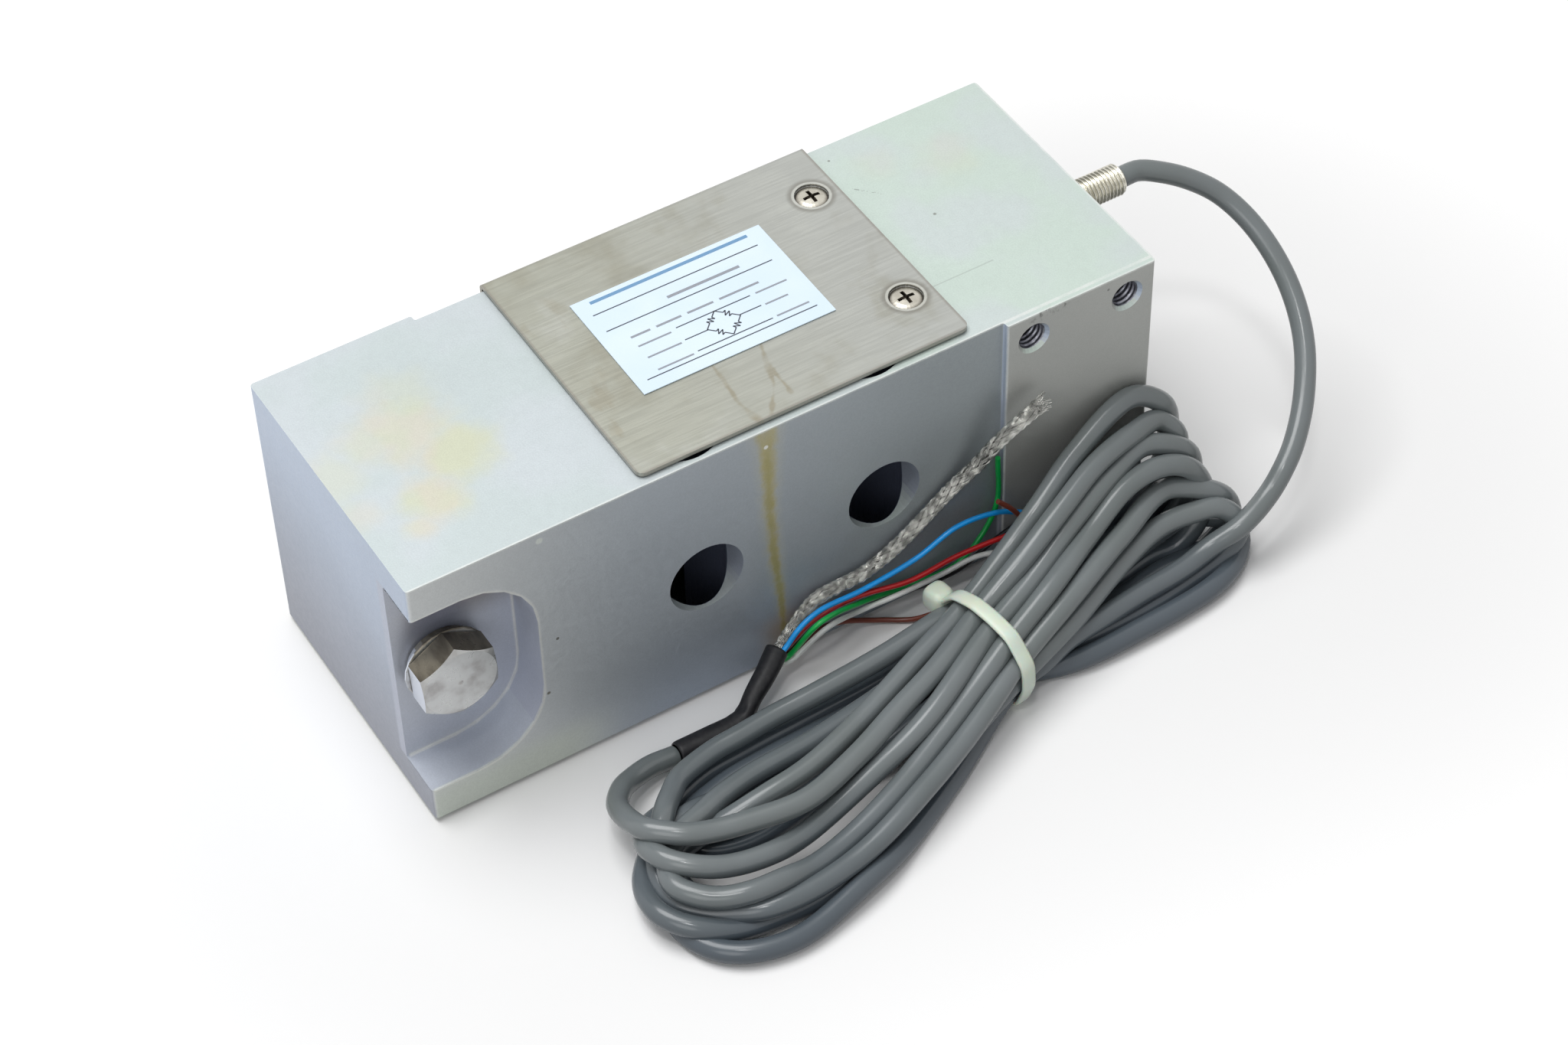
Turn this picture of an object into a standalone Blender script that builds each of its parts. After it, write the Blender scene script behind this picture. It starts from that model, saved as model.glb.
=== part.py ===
"""Single point load cell: a machined aluminium beam with a folded cover, an overload stop and a tied cable.

The cell lies on its side as it would on a bench, label side up. The origin is the centre of the beam's
footprint at the surface it lies on, X runs along the beam towards the cable gland, Y away from the front
face and Z up. All sizes are in metres.
"""

import math

import bmesh
import bpy
from mathutils import Matrix, Vector

# Beam
BEAM_LENGTH = 0.1905
BEAM_DEPTH = 0.0754
BEAM_HEIGHT = 0.0750
EDGE_RADIUS = 0.0009
PAD_STEP = 0.0017
PAD_LENGTH = 0.0402
PAD_FILLET = 0.0012

# Flexure: four bores beside the front and back faces, joined by a window between the arms
BORE_DIAMETER = 0.0200
BORE_SPACING = 0.0468
FLEXURE_WALL = 0.0011
WINDOW_OVERLAP = 0.0013
ACCESS_HOLE_DIAMETER = 0.0190

# Threaded mounting holes in each pad (M8)
MOUNT_MINOR_DIAMETER = 0.0070
MOUNT_CHAMFER_DIAMETER = 0.0085
MOUNT_CHAMFER_DEPTH = 0.0009
MOUNT_DEPTH = 0.0200
MOUNT_PITCH_X = 0.0254
MOUNT_PITCH_Z = 0.0606
MOUNT_END_DISTANCE = 0.0076

# Overload stop pocket, bolt and washer (M12)
POCKET_LENGTH = 0.0297
POCKET_HEIGHT = 0.0559
POCKET_CORNER_RADIUS = 0.0175
POCKET_DEPTH = 0.0123
STOP_BOLT_FROM_END = 0.0110
STOP_BOLT_DIAMETER = 0.0120
STOP_BOLT_LENGTH = 0.0240
STOP_POINT_CHAMFER = 0.0015
STOP_HEX_ACROSS_FLATS = 0.0180
STOP_HEX_HEIGHT = 0.0064
STOP_HEX_CHAMFER = 0.0008
STOP_HEX_FACE_DIAMETER = 0.0178
STOP_HEX_TURN = math.radians(32.0)
STOP_WASHER_DIAMETER = 0.0200
STOP_WASHER_THICKNESS = 0.0008
STOP_SPACER_DIAMETER = 0.0168
STOP_SPACER_THICKNESS = 0.0019
STOP_RING_EDGE = 0.0002

# Cover and its screws (M4, countersunk)
COVER_THICKNESS = 0.0010
COVER_GAP = 0.0005
COVER_LENGTH = 0.0850
COVER_OFFSET = 0.00485
COVER_SETBACK = 0.0018
COVER_BEND_RADIUS = 0.0015
COVER_CORNER_RADIUS = 0.0020
SCREW_HEAD_DIAMETER = 0.0075
SCREW_HEAD_HEIGHT = 0.0021
SCREW_DOME = 0.0006
SCREW_DIAMETER = 0.0040
SCREW_LENGTH = 0.0100
SCREW_POINT_CHAMFER = 0.0010
SCREW_FROM_COVER_EDGE = 0.0068
SCREW_PITCH = 0.0400
SCREW_PAIR_OFFSET = 0.0016
RECESS_WIDTH = 0.0009
RECESS_LENGTH = 0.0042
RECESS_DEPTH = 0.0014

# Label plate
LABEL_LENGTH = 0.0494
LABEL_WIDTH = 0.0333
LABEL_THICKNESS = 0.0002
LABEL_GAP = 0.0001
LABEL_OFFSET = (0.0003, 0.0029)

# Cable gland nipple and the cable
GLAND_DIAMETER = 0.0079
GLAND_BORE = 0.0060
GLAND_PROTRUSION = 0.0170
GLAND_ENGAGEMENT = 0.0100
GLAND_CHAMFER = 0.0005
GLAND_Y = 0.0002
GLAND_BELOW_TOP = 0.0119
CABLE_DIAMETER = 0.0052
CABLE_START_INSIDE = 0.0070
PASSAGE_DIAMETER = 0.0062
CORE_DIAMETER = 0.0044

# Inside the window and the bores
BOARD_SIZE = (0.0016, 0.0240, 0.0180)
BOARD_BELOW_PASSAGE = 0.0040
RESISTOR_SIZE = (0.0020, 0.0034, 0.0060)
RESISTOR_SPACING = 0.0100
GAUGE_SIZE = (0.0050, 0.0003, 0.0080)
GAUGE_FROM_TOP = 0.0130

# Cable tie
TIE_WIDTH = 0.0040
TIE_THICKNESS = 0.0012
TIE_CORNER_RADIUS = 0.0022
TIE_LEAST_RADIUS = 0.0002
TIE_HEAD_SIZE = (0.0055, 0.0066, 0.0056)

# Stripped end
SLEEVE_DIAMETER = 0.0064
BRAID_DIAMETER = 0.0036
WIRE_DIAMETER = 0.0013

# Hank of the wound cable: its solid's height at the low left lobe and at the leaning right lobe
HANK_BASE = 0.0018
HANK_LEFT_HEIGHT = 0.0250
HANK_RIGHT_HEIGHT = 0.0400

# Fits
FIT_GAP = 0.0003
CUT_MARGIN = 0.0010
ROUND_STEPS = 48
SMALL_STEPS = 24
DOME_STEPS = 3
CORNER_STEPS = 4
ROUTE_STEPS = 20
TUBE_POINT_SPACING = 2.5
ARC_STEP = math.radians(18.0)
SMOOTH_ANGLE = math.radians(35.0)
RIM_ANGLE = math.radians(60.0)
SAME_PLACE = 0.00001

# Derived places shared by several pieces
HALF_LENGTH = BEAM_LENGTH / 2
HALF_DEPTH = BEAM_DEPTH / 2
BEAM_BASE = COVER_THICKNESS + COVER_GAP
BEAM_TOP = BEAM_BASE + BEAM_HEIGHT
BEAM_MIDDLE = BEAM_BASE + BEAM_HEIGHT / 2
FRONT_FACE = -HALF_DEPTH + PAD_STEP
BACK_FACE = HALF_DEPTH - PAD_STEP
BORE_Y = HALF_DEPTH - PAD_STEP - FLEXURE_WALL - BORE_DIAMETER / 2
WINDOW_HALF_DEPTH = BORE_Y - BORE_DIAMETER / 2 + WINDOW_OVERLAP
POCKET_FLOOR = FRONT_FACE + POCKET_DEPTH
STOP_BOLT_X = -HALF_LENGTH + STOP_BOLT_FROM_END
COVER_RIGHT = COVER_OFFSET + COVER_LENGTH / 2
COVER_FRONT = FRONT_FACE + COVER_SETBACK
COVER_TOP = BEAM_TOP + COVER_GAP + COVER_THICKNESS
COVER_BACK = BACK_FACE + COVER_GAP + COVER_THICKNESS
SCREW_X = COVER_RIGHT - SCREW_FROM_COVER_EDGE
SCREW_ROWS = {
    "front": SCREW_PAIR_OFFSET - SCREW_PITCH / 2,
    "back": SCREW_PAIR_OFFSET + SCREW_PITCH / 2,
}
GLAND_Z = BEAM_TOP - GLAND_BELOW_TOP
GLAND_END = HALF_LENGTH + GLAND_PROTRUSION
WINDOW_RIGHT = BORE_SPACING / 2

# The cable's route outside the hank, chosen by hand
CABLE_RUN_POINTS = [
    (GLAND_END - CABLE_START_INSIDE, GLAND_Y, GLAND_Z),
    (GLAND_END, GLAND_Y, GLAND_Z),
    (0.1175, 0.0001, 0.0645),
    (0.1222, -0.0023, 0.0636),
    (0.1281, -0.0056, 0.0611),
    (0.1339, -0.0102, 0.0572),
    (0.1378, -0.0175, 0.0523),
    (0.1395, -0.0265, 0.0464),
    (0.1388, -0.0357, 0.0404),
    (0.1356, -0.0447, 0.0344),
    (0.1294, -0.0536, 0.0277),
    (0.1222, -0.0603, 0.0226),
    (0.1168, -0.0637, 0.0196),
]
CABLE_TAIL_POINTS = [
    (-0.0418, -0.0500, 0.0028),
    (-0.0464, -0.0474, 0.0028),
    (-0.0505, -0.0470, 0.0028),
    (-0.0545, -0.0489, 0.0030),
    (-0.0583, -0.0520, 0.0040),
    (-0.0608, -0.0556, 0.0056),
]
SLEEVE_POINTS = [
    (-0.0411, -0.0504, 0.0034),
    (-0.0321, -0.0504, 0.0034),
    (-0.0262, -0.0504, 0.0036),
    (-0.0234, -0.0498, 0.0044),
    (-0.0195, -0.0474, 0.0067),
    (-0.0143, -0.0447, 0.0090),
    (-0.0093, -0.0414, 0.0107),
]
BRAID_POINTS = [
    (-0.0080, -0.0403, 0.0102),
    (-0.0026, -0.0393, 0.0147),
    (0.0033, -0.0386, 0.0183),
    (0.0161, -0.0383, 0.0190),
    (0.0255, -0.0383, 0.0231),
    (0.0400, -0.0383, 0.0334),
    (0.0464, -0.0396, 0.0393),
    (0.0501, -0.0409, 0.0444),
    (0.0557, -0.0420, 0.0494),
    (0.0638, -0.0422, 0.0533),
]
WIRE_POINTS = {
    "blue": [
        (-0.0077, -0.0428, 0.0121),
        (-0.0036, -0.0426, 0.0163),
        (0.0020, -0.0419, 0.0180),
        (0.0144, -0.0409, 0.0169),
        (0.0292, -0.0407, 0.0187),
        (0.0404, -0.0405, 0.0226),
        (0.0517, -0.0405, 0.0210),
        (0.0584, -0.0409, 0.0175),
    ],
    "red": [
        (-0.0065, -0.0400, 0.0077),
        (0.0016, -0.0391, 0.0120),
        (0.0122, -0.0404, 0.0149),
        (0.0270, -0.0415, 0.0131),
        (0.0401, -0.0412, 0.0135),
        (0.0547, -0.0427, 0.0142),
    ],
    "green": [
        (-0.0067, -0.0420, 0.0076),
        (-0.0001, -0.0454, 0.0184),
        (0.0145, -0.0407, 0.0125),
        (0.0297, -0.0374, 0.0062),
        (0.0420, -0.0384, 0.0072),
        (0.0501, -0.0377, 0.0134),
        (0.0535, -0.0375, 0.0209),
        (0.0534, -0.0375, 0.0356),
    ],
    "white": [
        (-0.0059, -0.0420, 0.0060),
        (0.0038, -0.0422, 0.0114),
        (0.0152, -0.0396, 0.0084),
        (0.0226, -0.0415, 0.0103),
        (0.0360, -0.0407, 0.0091),
        (0.0451, -0.0415, 0.0106),
        (0.0514, -0.0427, 0.0099),
    ],
    "brown": [
        (-0.0049, -0.0407, 0.0047),
        (0.0045, -0.0376, 0.0060),
        (0.0110, -0.0373, 0.0045),
        (0.0199, -0.0391, 0.0014),
        (0.0270, -0.0429, 0.0010),
        (0.0322, -0.0440, 0.0010),
        (0.0398, -0.0458, 0.0010),
        (0.0477, -0.0462, 0.0020),
        (0.0575, -0.0426, 0.0075),
        (0.0584, -0.0436, 0.0145),
        (0.0567, -0.0433, 0.0185),
        (0.0537, -0.0429, 0.0233),
        (0.0504, -0.0423, 0.0270),
    ],
    "black": [
        (-0.0053, -0.0403, 0.0064),
        (0.0026, -0.0391, 0.0097),
        (0.0091, -0.0383, 0.0098),
        (0.0164, -0.0377, 0.0085),
        (0.0298, -0.0373, 0.0044),
        (0.0427, -0.0378, 0.0042),
        (0.0515, -0.0392, 0.0101),
        (0.0570, -0.0413, 0.0151),
    ],
}
HANK_OUTLINE_POINTS = [
    (0.0310, -0.0532),
    (0.0550, -0.0470),
    (0.0780, -0.0413),
    (0.0990, -0.0411),
    (0.1115, -0.0495),
    (0.1110, -0.0700),
    (0.0980, -0.0810),
    (0.0800, -0.0840),
    (0.0560, -0.0800),
    (0.0310, -0.0790),
    (0.0080, -0.0900),
    (-0.0180, -0.1060),
    (-0.0420, -0.1115),
    (-0.0610, -0.1040),
    (-0.0680, -0.0880),
    (-0.0670, -0.0700),
    (-0.0600, -0.0590),
    (-0.0400, -0.0560),
    (-0.0100, -0.0545),
]
TIE_CENTRE = (0.0310, -0.0661)
TIE_HALF_WIDTH = 0.0137
TIE_TURN = math.radians(9.6)

ALONG_X = Matrix.Rotation(math.radians(90.0), 4, "Y")
ALONG_Y = Matrix.Rotation(math.radians(-90.0), 4, "X")
FRONT_VIEW = Matrix.Rotation(math.radians(90.0), 4, "X")
END_VIEW = Matrix(((0, 0, 1, 0), (1, 0, 0, 0), (0, 1, 0, 0), (0, 0, 0, 1)))


def clear_scene():
    for item in list(bpy.data.objects):
        bpy.data.objects.remove(item, do_unlink=True)


def new_collection(name):
    collection = bpy.data.collections.new(name)
    bpy.context.scene.collection.children.link(collection)
    return collection


def new_material(name, colour, roughness, metallic):
    material = bpy.data.materials.new(name)
    material.use_nodes = True
    shader = material.node_tree.nodes["Principled BSDF"]
    shader.inputs["Base Color"].default_value = (*colour, 1.0)
    shader.inputs["Roughness"].default_value = roughness
    shader.inputs["Metallic"].default_value = metallic
    material.diffuse_color = (*colour, 1.0)
    return material


def add_object(name, data, collection, matrix=Matrix.Identity(4), material=None):
    item = bpy.data.objects.new(name, data)
    item.matrix_world = matrix
    collection.objects.link(item)
    if material is not None:
        data.materials.append(material)
    return item


def hide_cutter(item):
    item.hide_render = True
    item.display_type = "WIRE"
    return item


def subtract(target, cutters):
    for cutter in cutters:
        modifier = target.modifiers.new("cut_" + cutter.name, "BOOLEAN")
        modifier.operation = "DIFFERENCE"
        modifier.object = cutter
        modifier.solver = "EXACT"


def smooth_round_faces(mesh):
    mesh.shade_smooth()
    mesh.set_sharp_from_angle(angle=SMOOTH_ANGLE)


def mesh_from_object(name, source, collection):
    """Replace a curve object by the mesh it evaluates to, with its caps welded on."""
    bpy.context.view_layer.update()
    evaluated = source.evaluated_get(bpy.context.evaluated_depsgraph_get())
    mesh = bpy.data.meshes.new_from_object(evaluated)
    mesh.name = name
    work = bmesh.new()
    work.from_mesh(mesh)
    bmesh.ops.remove_doubles(work, verts=work.verts, dist=SAME_PLACE)
    bmesh.ops.recalc_face_normals(work, faces=work.faces)
    work.to_mesh(mesh)
    work.free()
    matrix = source.matrix_world.copy()
    bpy.data.objects.remove(source, do_unlink=True)
    return add_object(name, mesh, collection, matrix)


def rounded_loop(corners):
    """Outline through (u, v, radius) corners, each radius drawn as an arc."""
    loop = []
    count = len(corners)
    for index, (u, v, radius) in enumerate(corners):
        corner = Vector((u, v))
        if radius <= 0.0:
            loop.append(tuple(corner))
            continue
        before = Vector(corners[index - 1][:2]) - corner
        after = Vector(corners[(index + 1) % count][:2]) - corner
        before.normalize()
        after.normalize()
        half_angle = before.angle(after) / 2
        centre = corner + (before + after).normalized() * (radius / math.sin(half_angle))
        start = corner + before * (radius / math.tan(half_angle)) - centre
        sweep = math.pi - 2 * half_angle
        steps = max(2, math.ceil(sweep / ARC_STEP))
        turn = 1.0 if before.x * after.y - before.y * after.x < 0 else -1.0
        for step in range(steps + 1):
            angle = turn * sweep * step / steps
            rotated = Vector((
                start.x * math.cos(angle) - start.y * math.sin(angle),
                start.x * math.sin(angle) + start.y * math.cos(angle),
            ))
            loop.append(tuple(centre + rotated))
    return loop


def outline_solid(name, loops, thickness, matrix, collection):
    """Flat outline in the matrix's own XY plane, filled and thickened about that plane."""
    curve = bpy.data.curves.new(name + "_outline", "CURVE")
    curve.dimensions = "2D"
    curve.fill_mode = "BOTH"
    curve.extrude = thickness / 2
    for loop in loops:
        spline = curve.splines.new("POLY")
        spline.points.add(len(loop) - 1)
        for point, (u, v) in zip(spline.points, loop):
            point.co = (u, v, 0.0, 1.0)
        spline.use_cyclic_u = True
    source = add_object(name + "_source", curve, collection, matrix)
    return mesh_from_object(name, source, collection)


def box(name, size, centre, collection):
    mesh = bpy.data.meshes.new(name)
    work = bmesh.new()
    bmesh.ops.create_cube(work, size=1.0)
    bmesh.ops.scale(work, vec=Vector(size), verts=work.verts)
    work.to_mesh(mesh)
    work.free()
    return add_object(name, mesh, collection, Matrix.Translation(centre))


def cylinder(name, diameter, start, length, axis, collection, steps=ROUND_STEPS):
    """Cylinder from its start point along one of the axis matrices."""
    mesh = bpy.data.meshes.new(name)
    work = bmesh.new()
    bmesh.ops.create_cone(
        work,
        cap_ends=True,
        segments=steps,
        radius1=diameter / 2,
        radius2=diameter / 2,
        depth=length,
    )
    bmesh.ops.translate(work, vec=(0.0, 0.0, length / 2), verts=work.verts)
    work.to_mesh(mesh)
    work.free()
    smooth_round_faces(mesh)
    return add_object(name, mesh, collection, Matrix.Translation(start) @ axis)


def turned(name, profile, start, axis, collection, steps=SMALL_STEPS, closed=False):
    """Turn an (r, z) profile, listed from its top down, about the axis through start."""
    mesh = bpy.data.meshes.new(name)
    vertices = [(radius, 0.0, height) for radius, height in profile]
    edges = [(index, index + 1) for index in range(len(profile) - 1)]
    if closed:
        edges.append((len(profile) - 1, 0))
    mesh.from_pydata(vertices, edges, [])
    item = add_object(name, mesh, collection, Matrix.Translation(start) @ axis)
    screw = item.modifiers.new("turn", "SCREW")
    screw.axis = "Z"
    screw.angle = 2 * math.pi
    screw.steps = steps
    screw.render_steps = steps
    screw.use_merge_vertices = True
    screw.merge_threshold = SAME_PLACE
    screw.use_smooth_shade = True
    return item


def smooth_route(points, spacing):
    """Points spaced evenly along a Catmull-Rom curve through the given ones."""
    knots = [Vector(point) for point in points]
    knots = [2 * knots[0] - knots[1], *knots, 2 * knots[-1] - knots[-2]]
    fine = []
    for index in range(1, len(knots) - 2):
        before, start, end, after = knots[index - 1:index + 3]
        for step in range(ROUTE_STEPS):
            t = step / ROUTE_STEPS
            fine.append(0.5 * (
                2 * start
                + (end - before) * t
                + (2 * before - 5 * start + 4 * end - after) * t * t
                + (3 * start - before - 3 * end + after) * t * t * t
            ))
    fine.append(knots[-2])
    total = sum((b - a).length for a, b in zip(fine, fine[1:]))
    count = max(2, round(total / spacing))
    route = [fine[0]]
    walked = 0.0
    for start, end in zip(fine, fine[1:]):
        length = (end - start).length
        while len(route) < count and walked + length >= total * len(route) / count:
            share = (total * len(route) / count - walked) / length
            route.append(start.lerp(end, share))
        walked += length
    route.append(fine[-1])
    return route


def tube(name, points, diameter, collection, material, resolution=2):
    """Round tube with filled ends along a smooth route through the points."""
    route = smooth_route(points, TUBE_POINT_SPACING * diameter)
    curve = bpy.data.curves.new(name, "CURVE")
    curve.dimensions = "3D"
    curve.bevel_depth = diameter / 2
    curve.bevel_resolution = resolution
    curve.use_fill_caps = True
    spline = curve.splines.new("POLY")
    spline.points.add(len(route) - 1)
    for point, place in zip(spline.points, route):
        point.co = (*place, 1.0)
    return add_object(name, curve, collection, material=material)


def beam_blank(parts):
    """Beam outline with a raised pad on each side, its rims rounded."""
    step = FRONT_FACE
    jog_front = HALF_LENGTH - PAD_LENGTH
    jog_back = -HALF_LENGTH + PAD_LENGTH
    outline = rounded_loop([
        (-HALF_LENGTH, step, EDGE_RADIUS),
        (jog_front, step, PAD_FILLET / 2),
        (jog_front, -HALF_DEPTH, PAD_FILLET / 2),
        (HALF_LENGTH, -HALF_DEPTH, EDGE_RADIUS),
        (HALF_LENGTH, BACK_FACE, EDGE_RADIUS),
        (jog_back, BACK_FACE, PAD_FILLET / 2),
        (jog_back, HALF_DEPTH, PAD_FILLET / 2),
        (-HALF_LENGTH, HALF_DEPTH, EDGE_RADIUS),
    ])
    centre = Matrix.Translation((0.0, 0.0, BEAM_MIDDLE))
    blank = outline_solid("beam_body", [outline], BEAM_HEIGHT, centre, parts)
    rims = blank.modifiers.new("rims", "BEVEL")
    rims.width = EDGE_RADIUS
    rims.segments = 2
    rims.limit_method = "ANGLE"
    rims.angle_limit = RIM_ANGLE
    return blank


def flexure_cutters(cutters):
    made = []
    full_height = BEAM_HEIGHT + 2 * CUT_MARGIN
    bottom = BEAM_BASE - CUT_MARGIN
    for side, sign in (("front", -1), ("back", 1)):
        for end, place in (("left", -1), ("right", 1)):
            x = place * BORE_SPACING / 2
            start = (x, sign * BORE_Y, bottom)
            bore = cylinder(f"bore_{side}_{end}", BORE_DIAMETER, start, full_height, Matrix(), cutters)
            outer = sign * (HALF_DEPTH + CUT_MARGIN)
            axis = ALONG_Y if sign < 0 else ALONG_Y.inverted()
            reach = abs(outer) - BORE_Y
            access = cylinder(
                f"access_{side}_{end}", ACCESS_HOLE_DIAMETER, (x, outer, BEAM_MIDDLE), reach, axis, cutters
            )
            made += [bore, access]
    window_size = (BORE_SPACING, 2 * WINDOW_HALF_DEPTH, full_height)
    made.append(box("window", window_size, (0.0, 0.0, BEAM_MIDDLE), cutters))
    return made


def mounting_hole_cutters(cutters):
    profile = [
        (0.0, CUT_MARGIN),
        (MOUNT_CHAMFER_DIAMETER / 2, CUT_MARGIN),
        (MOUNT_CHAMFER_DIAMETER / 2, 0.0),
        (MOUNT_MINOR_DIAMETER / 2, -MOUNT_CHAMFER_DEPTH),
        (MOUNT_MINOR_DIAMETER / 2, -MOUNT_DEPTH),
        (0.0, -MOUNT_DEPTH),
    ]
    made = []
    for pad, sign in (("front", 1), ("back", -1)):
        axis = ALONG_Y.inverted() if sign > 0 else ALONG_Y
        for column in (0, 1):
            x = sign * (HALF_LENGTH - MOUNT_END_DISTANCE - column * MOUNT_PITCH_X)
            for row in (-1, 1):
                start = (x, -sign * HALF_DEPTH, BEAM_MIDDLE + row * MOUNT_PITCH_Z / 2)
                made.append(turned(f"mount_{pad}_{column}_{row}", profile, start, axis, cutters))
    return made


def stop_cutters(cutters):
    half = POCKET_HEIGHT / 2
    outside = -HALF_LENGTH - CUT_MARGIN
    inside = -HALF_LENGTH + POCKET_LENGTH
    outline = rounded_loop([
        (outside, -half, 0.0),
        (inside, -half, POCKET_CORNER_RADIUS),
        (inside, half, POCKET_CORNER_RADIUS),
        (outside, half, 0.0),
    ])
    thickness = POCKET_DEPTH + CUT_MARGIN
    middle = Matrix.Translation((0.0, POCKET_FLOOR - thickness / 2, BEAM_MIDDLE)) @ FRONT_VIEW
    pocket = outline_solid("stop_pocket", [outline], thickness, middle, cutters)
    hole_start = (STOP_BOLT_X, POCKET_FLOOR - CUT_MARGIN, BEAM_MIDDLE)
    hole_length = STOP_BOLT_LENGTH + 2 * CUT_MARGIN
    hole = cylinder(
        "stop_hole", STOP_BOLT_DIAMETER + 2 * FIT_GAP, hole_start, hole_length, ALONG_Y, cutters, SMALL_STEPS
    )
    return [pocket, hole]


def cable_entry_cutters(cutters):
    entry = cylinder(
        "gland_hole",
        GLAND_DIAMETER + 2 * FIT_GAP,
        (HALF_LENGTH - GLAND_ENGAGEMENT - FIT_GAP, GLAND_Y, GLAND_Z),
        GLAND_ENGAGEMENT + FIT_GAP + CUT_MARGIN,
        ALONG_X,
        cutters,
        SMALL_STEPS,
    )
    passage = cylinder(
        "core_passage",
        PASSAGE_DIAMETER,
        (WINDOW_RIGHT - CUT_MARGIN, GLAND_Y, GLAND_Z),
        HALF_LENGTH - WINDOW_RIGHT,
        ALONG_X,
        cutters,
        SMALL_STEPS,
    )
    return [entry, passage]


def screw_places():
    """Each cover screw's name, place on the cover's outer surface and axis, head outwards."""
    turned_over = Matrix.Rotation(math.pi, 4, "X")
    for side, height, axis in (("top", COVER_TOP, Matrix()), ("bottom", 0.0, turned_over)):
        for row, y in SCREW_ROWS.items():
            yield f"cover_screw_{side}_{row}", (SCREW_X, y, height), axis


def screw_hole_cutters(cutters):
    made = []
    depth = SCREW_LENGTH + 2 * FIT_GAP
    for name, place, axis in screw_places():
        start = Matrix.Translation(place) @ axis @ Matrix.Translation((0.0, 0.0, -depth))
        hole = cylinder(
            "hole_" + name, SCREW_DIAMETER + 2 * FIT_GAP, start.translation, depth, axis, cutters, SMALL_STEPS
        )
        countersink = turned(
            "countersink_" + name,
            [
                (0.0, FIT_GAP),
                (SCREW_HEAD_DIAMETER / 2 + FIT_GAP, FIT_GAP),
                (SCREW_HEAD_DIAMETER / 2 + FIT_GAP, -SCREW_DOME),
                (SCREW_DIAMETER / 2 + FIT_GAP, -SCREW_HEAD_HEIGHT - FIT_GAP),
                (0.0, -SCREW_HEAD_HEIGHT - FIT_GAP),
            ],
            place,
            axis,
            cutters,
        )
        made += [hole, countersink]
    return made


def build_beam(parts, cutters, screw_cutters, material):
    beam = beam_blank(parts)
    beam.data.materials.append(material)
    subtract(beam, flexure_cutters(cutters))
    subtract(beam, mounting_hole_cutters(cutters))
    subtract(beam, stop_cutters(cutters))
    subtract(beam, cable_entry_cutters(cutters))
    subtract(beam, screw_cutters)
    return beam


def build_cover(parts, screw_cutters, material):
    """Sheet folded over the top, down the back and under the beam, open at the front face."""
    outer = COVER_BEND_RADIUS
    inner = COVER_BEND_RADIUS - COVER_THICKNESS
    top = COVER_TOP
    section = rounded_loop([
        (COVER_FRONT, 0.0, 0.0),
        (COVER_BACK, 0.0, outer),
        (COVER_BACK, top, outer),
        (COVER_FRONT, top, 0.0),
        (COVER_FRONT, top - COVER_THICKNESS, 0.0),
        (COVER_BACK - COVER_THICKNESS, top - COVER_THICKNESS, inner),
        (COVER_BACK - COVER_THICKNESS, COVER_THICKNESS, inner),
        (COVER_FRONT, COVER_THICKNESS, 0.0),
    ])
    place = Matrix.Translation((COVER_OFFSET, 0.0, 0.0)) @ END_VIEW
    cover = outline_solid("cover_saddle", [section], COVER_LENGTH, place, parts)
    cover.data.materials.append(material)
    work = bmesh.new()
    work.from_mesh(cover.data)
    free_corners = [
        edge
        for edge in work.edges
        if all(abs(vertex.co.x - COVER_FRONT) < SAME_PLACE for vertex in edge.verts)
        and abs(edge.verts[0].co.z - edge.verts[1].co.z) < SAME_PLACE
        and edge.calc_length() < 2 * COVER_THICKNESS
    ]
    bmesh.ops.bevel(
        work,
        geom=free_corners,
        offset=COVER_CORNER_RADIUS,
        segments=CORNER_STEPS,
        profile=0.5,
        affect="EDGES",
    )
    work.to_mesh(cover.data)
    work.free()
    subtract(cover, screw_cutters)
    return cover


def build_cover_screws(parts, cutters, material):
    head = SCREW_HEAD_DIAMETER / 2
    shank = SCREW_DIAMETER / 2
    shares = [step / DOME_STEPS for step in range(DOME_STEPS + 1)]
    profile = [(head * share, -SCREW_DOME * share * share) for share in shares]
    profile += [
        (shank, -SCREW_HEAD_HEIGHT),
        (shank, -SCREW_LENGTH + SCREW_POINT_CHAMFER),
        (shank - SCREW_POINT_CHAMFER, -SCREW_LENGTH),
        (0.0, -SCREW_LENGTH),
    ]
    for name, place, axis in screw_places():
        screw = turned(name, profile, place, axis, parts)
        screw.data.materials.append(material)
        slots = []
        for index, size in enumerate((
            (RECESS_LENGTH, RECESS_WIDTH, 2 * RECESS_DEPTH),
            (RECESS_WIDTH, RECESS_LENGTH, 2 * RECESS_DEPTH),
        )):
            slots.append(box(f"recess_{name}_{index}", size, place, cutters))
        subtract(screw, slots)


def build_label(parts, material):
    centre = (
        LABEL_OFFSET[0],
        LABEL_OFFSET[1],
        COVER_TOP + LABEL_GAP + LABEL_THICKNESS / 2,
    )
    label = box("label", (LABEL_LENGTH, LABEL_WIDTH, LABEL_THICKNESS), centre, parts)
    label.data.materials.append(material)


def stop_ring(name, diameter, thickness, front, parts, material):
    """Flat ring round the stop bolt, its outer edges broken, with its front at the given Y."""
    bore = STOP_BOLT_DIAMETER / 2 + FIT_GAP
    outer = diameter / 2
    profile = [
        (bore, thickness),
        (outer - STOP_RING_EDGE, thickness),
        (outer, thickness - STOP_RING_EDGE),
        (outer, STOP_RING_EDGE),
        (outer - STOP_RING_EDGE, 0.0),
        (bore, 0.0),
    ]
    start = (STOP_BOLT_X, front + thickness, BEAM_MIDDLE)
    ring = turned(name, profile, start, ALONG_Y.inverted(), parts, closed=True)
    ring.data.materials.append(material)


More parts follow.
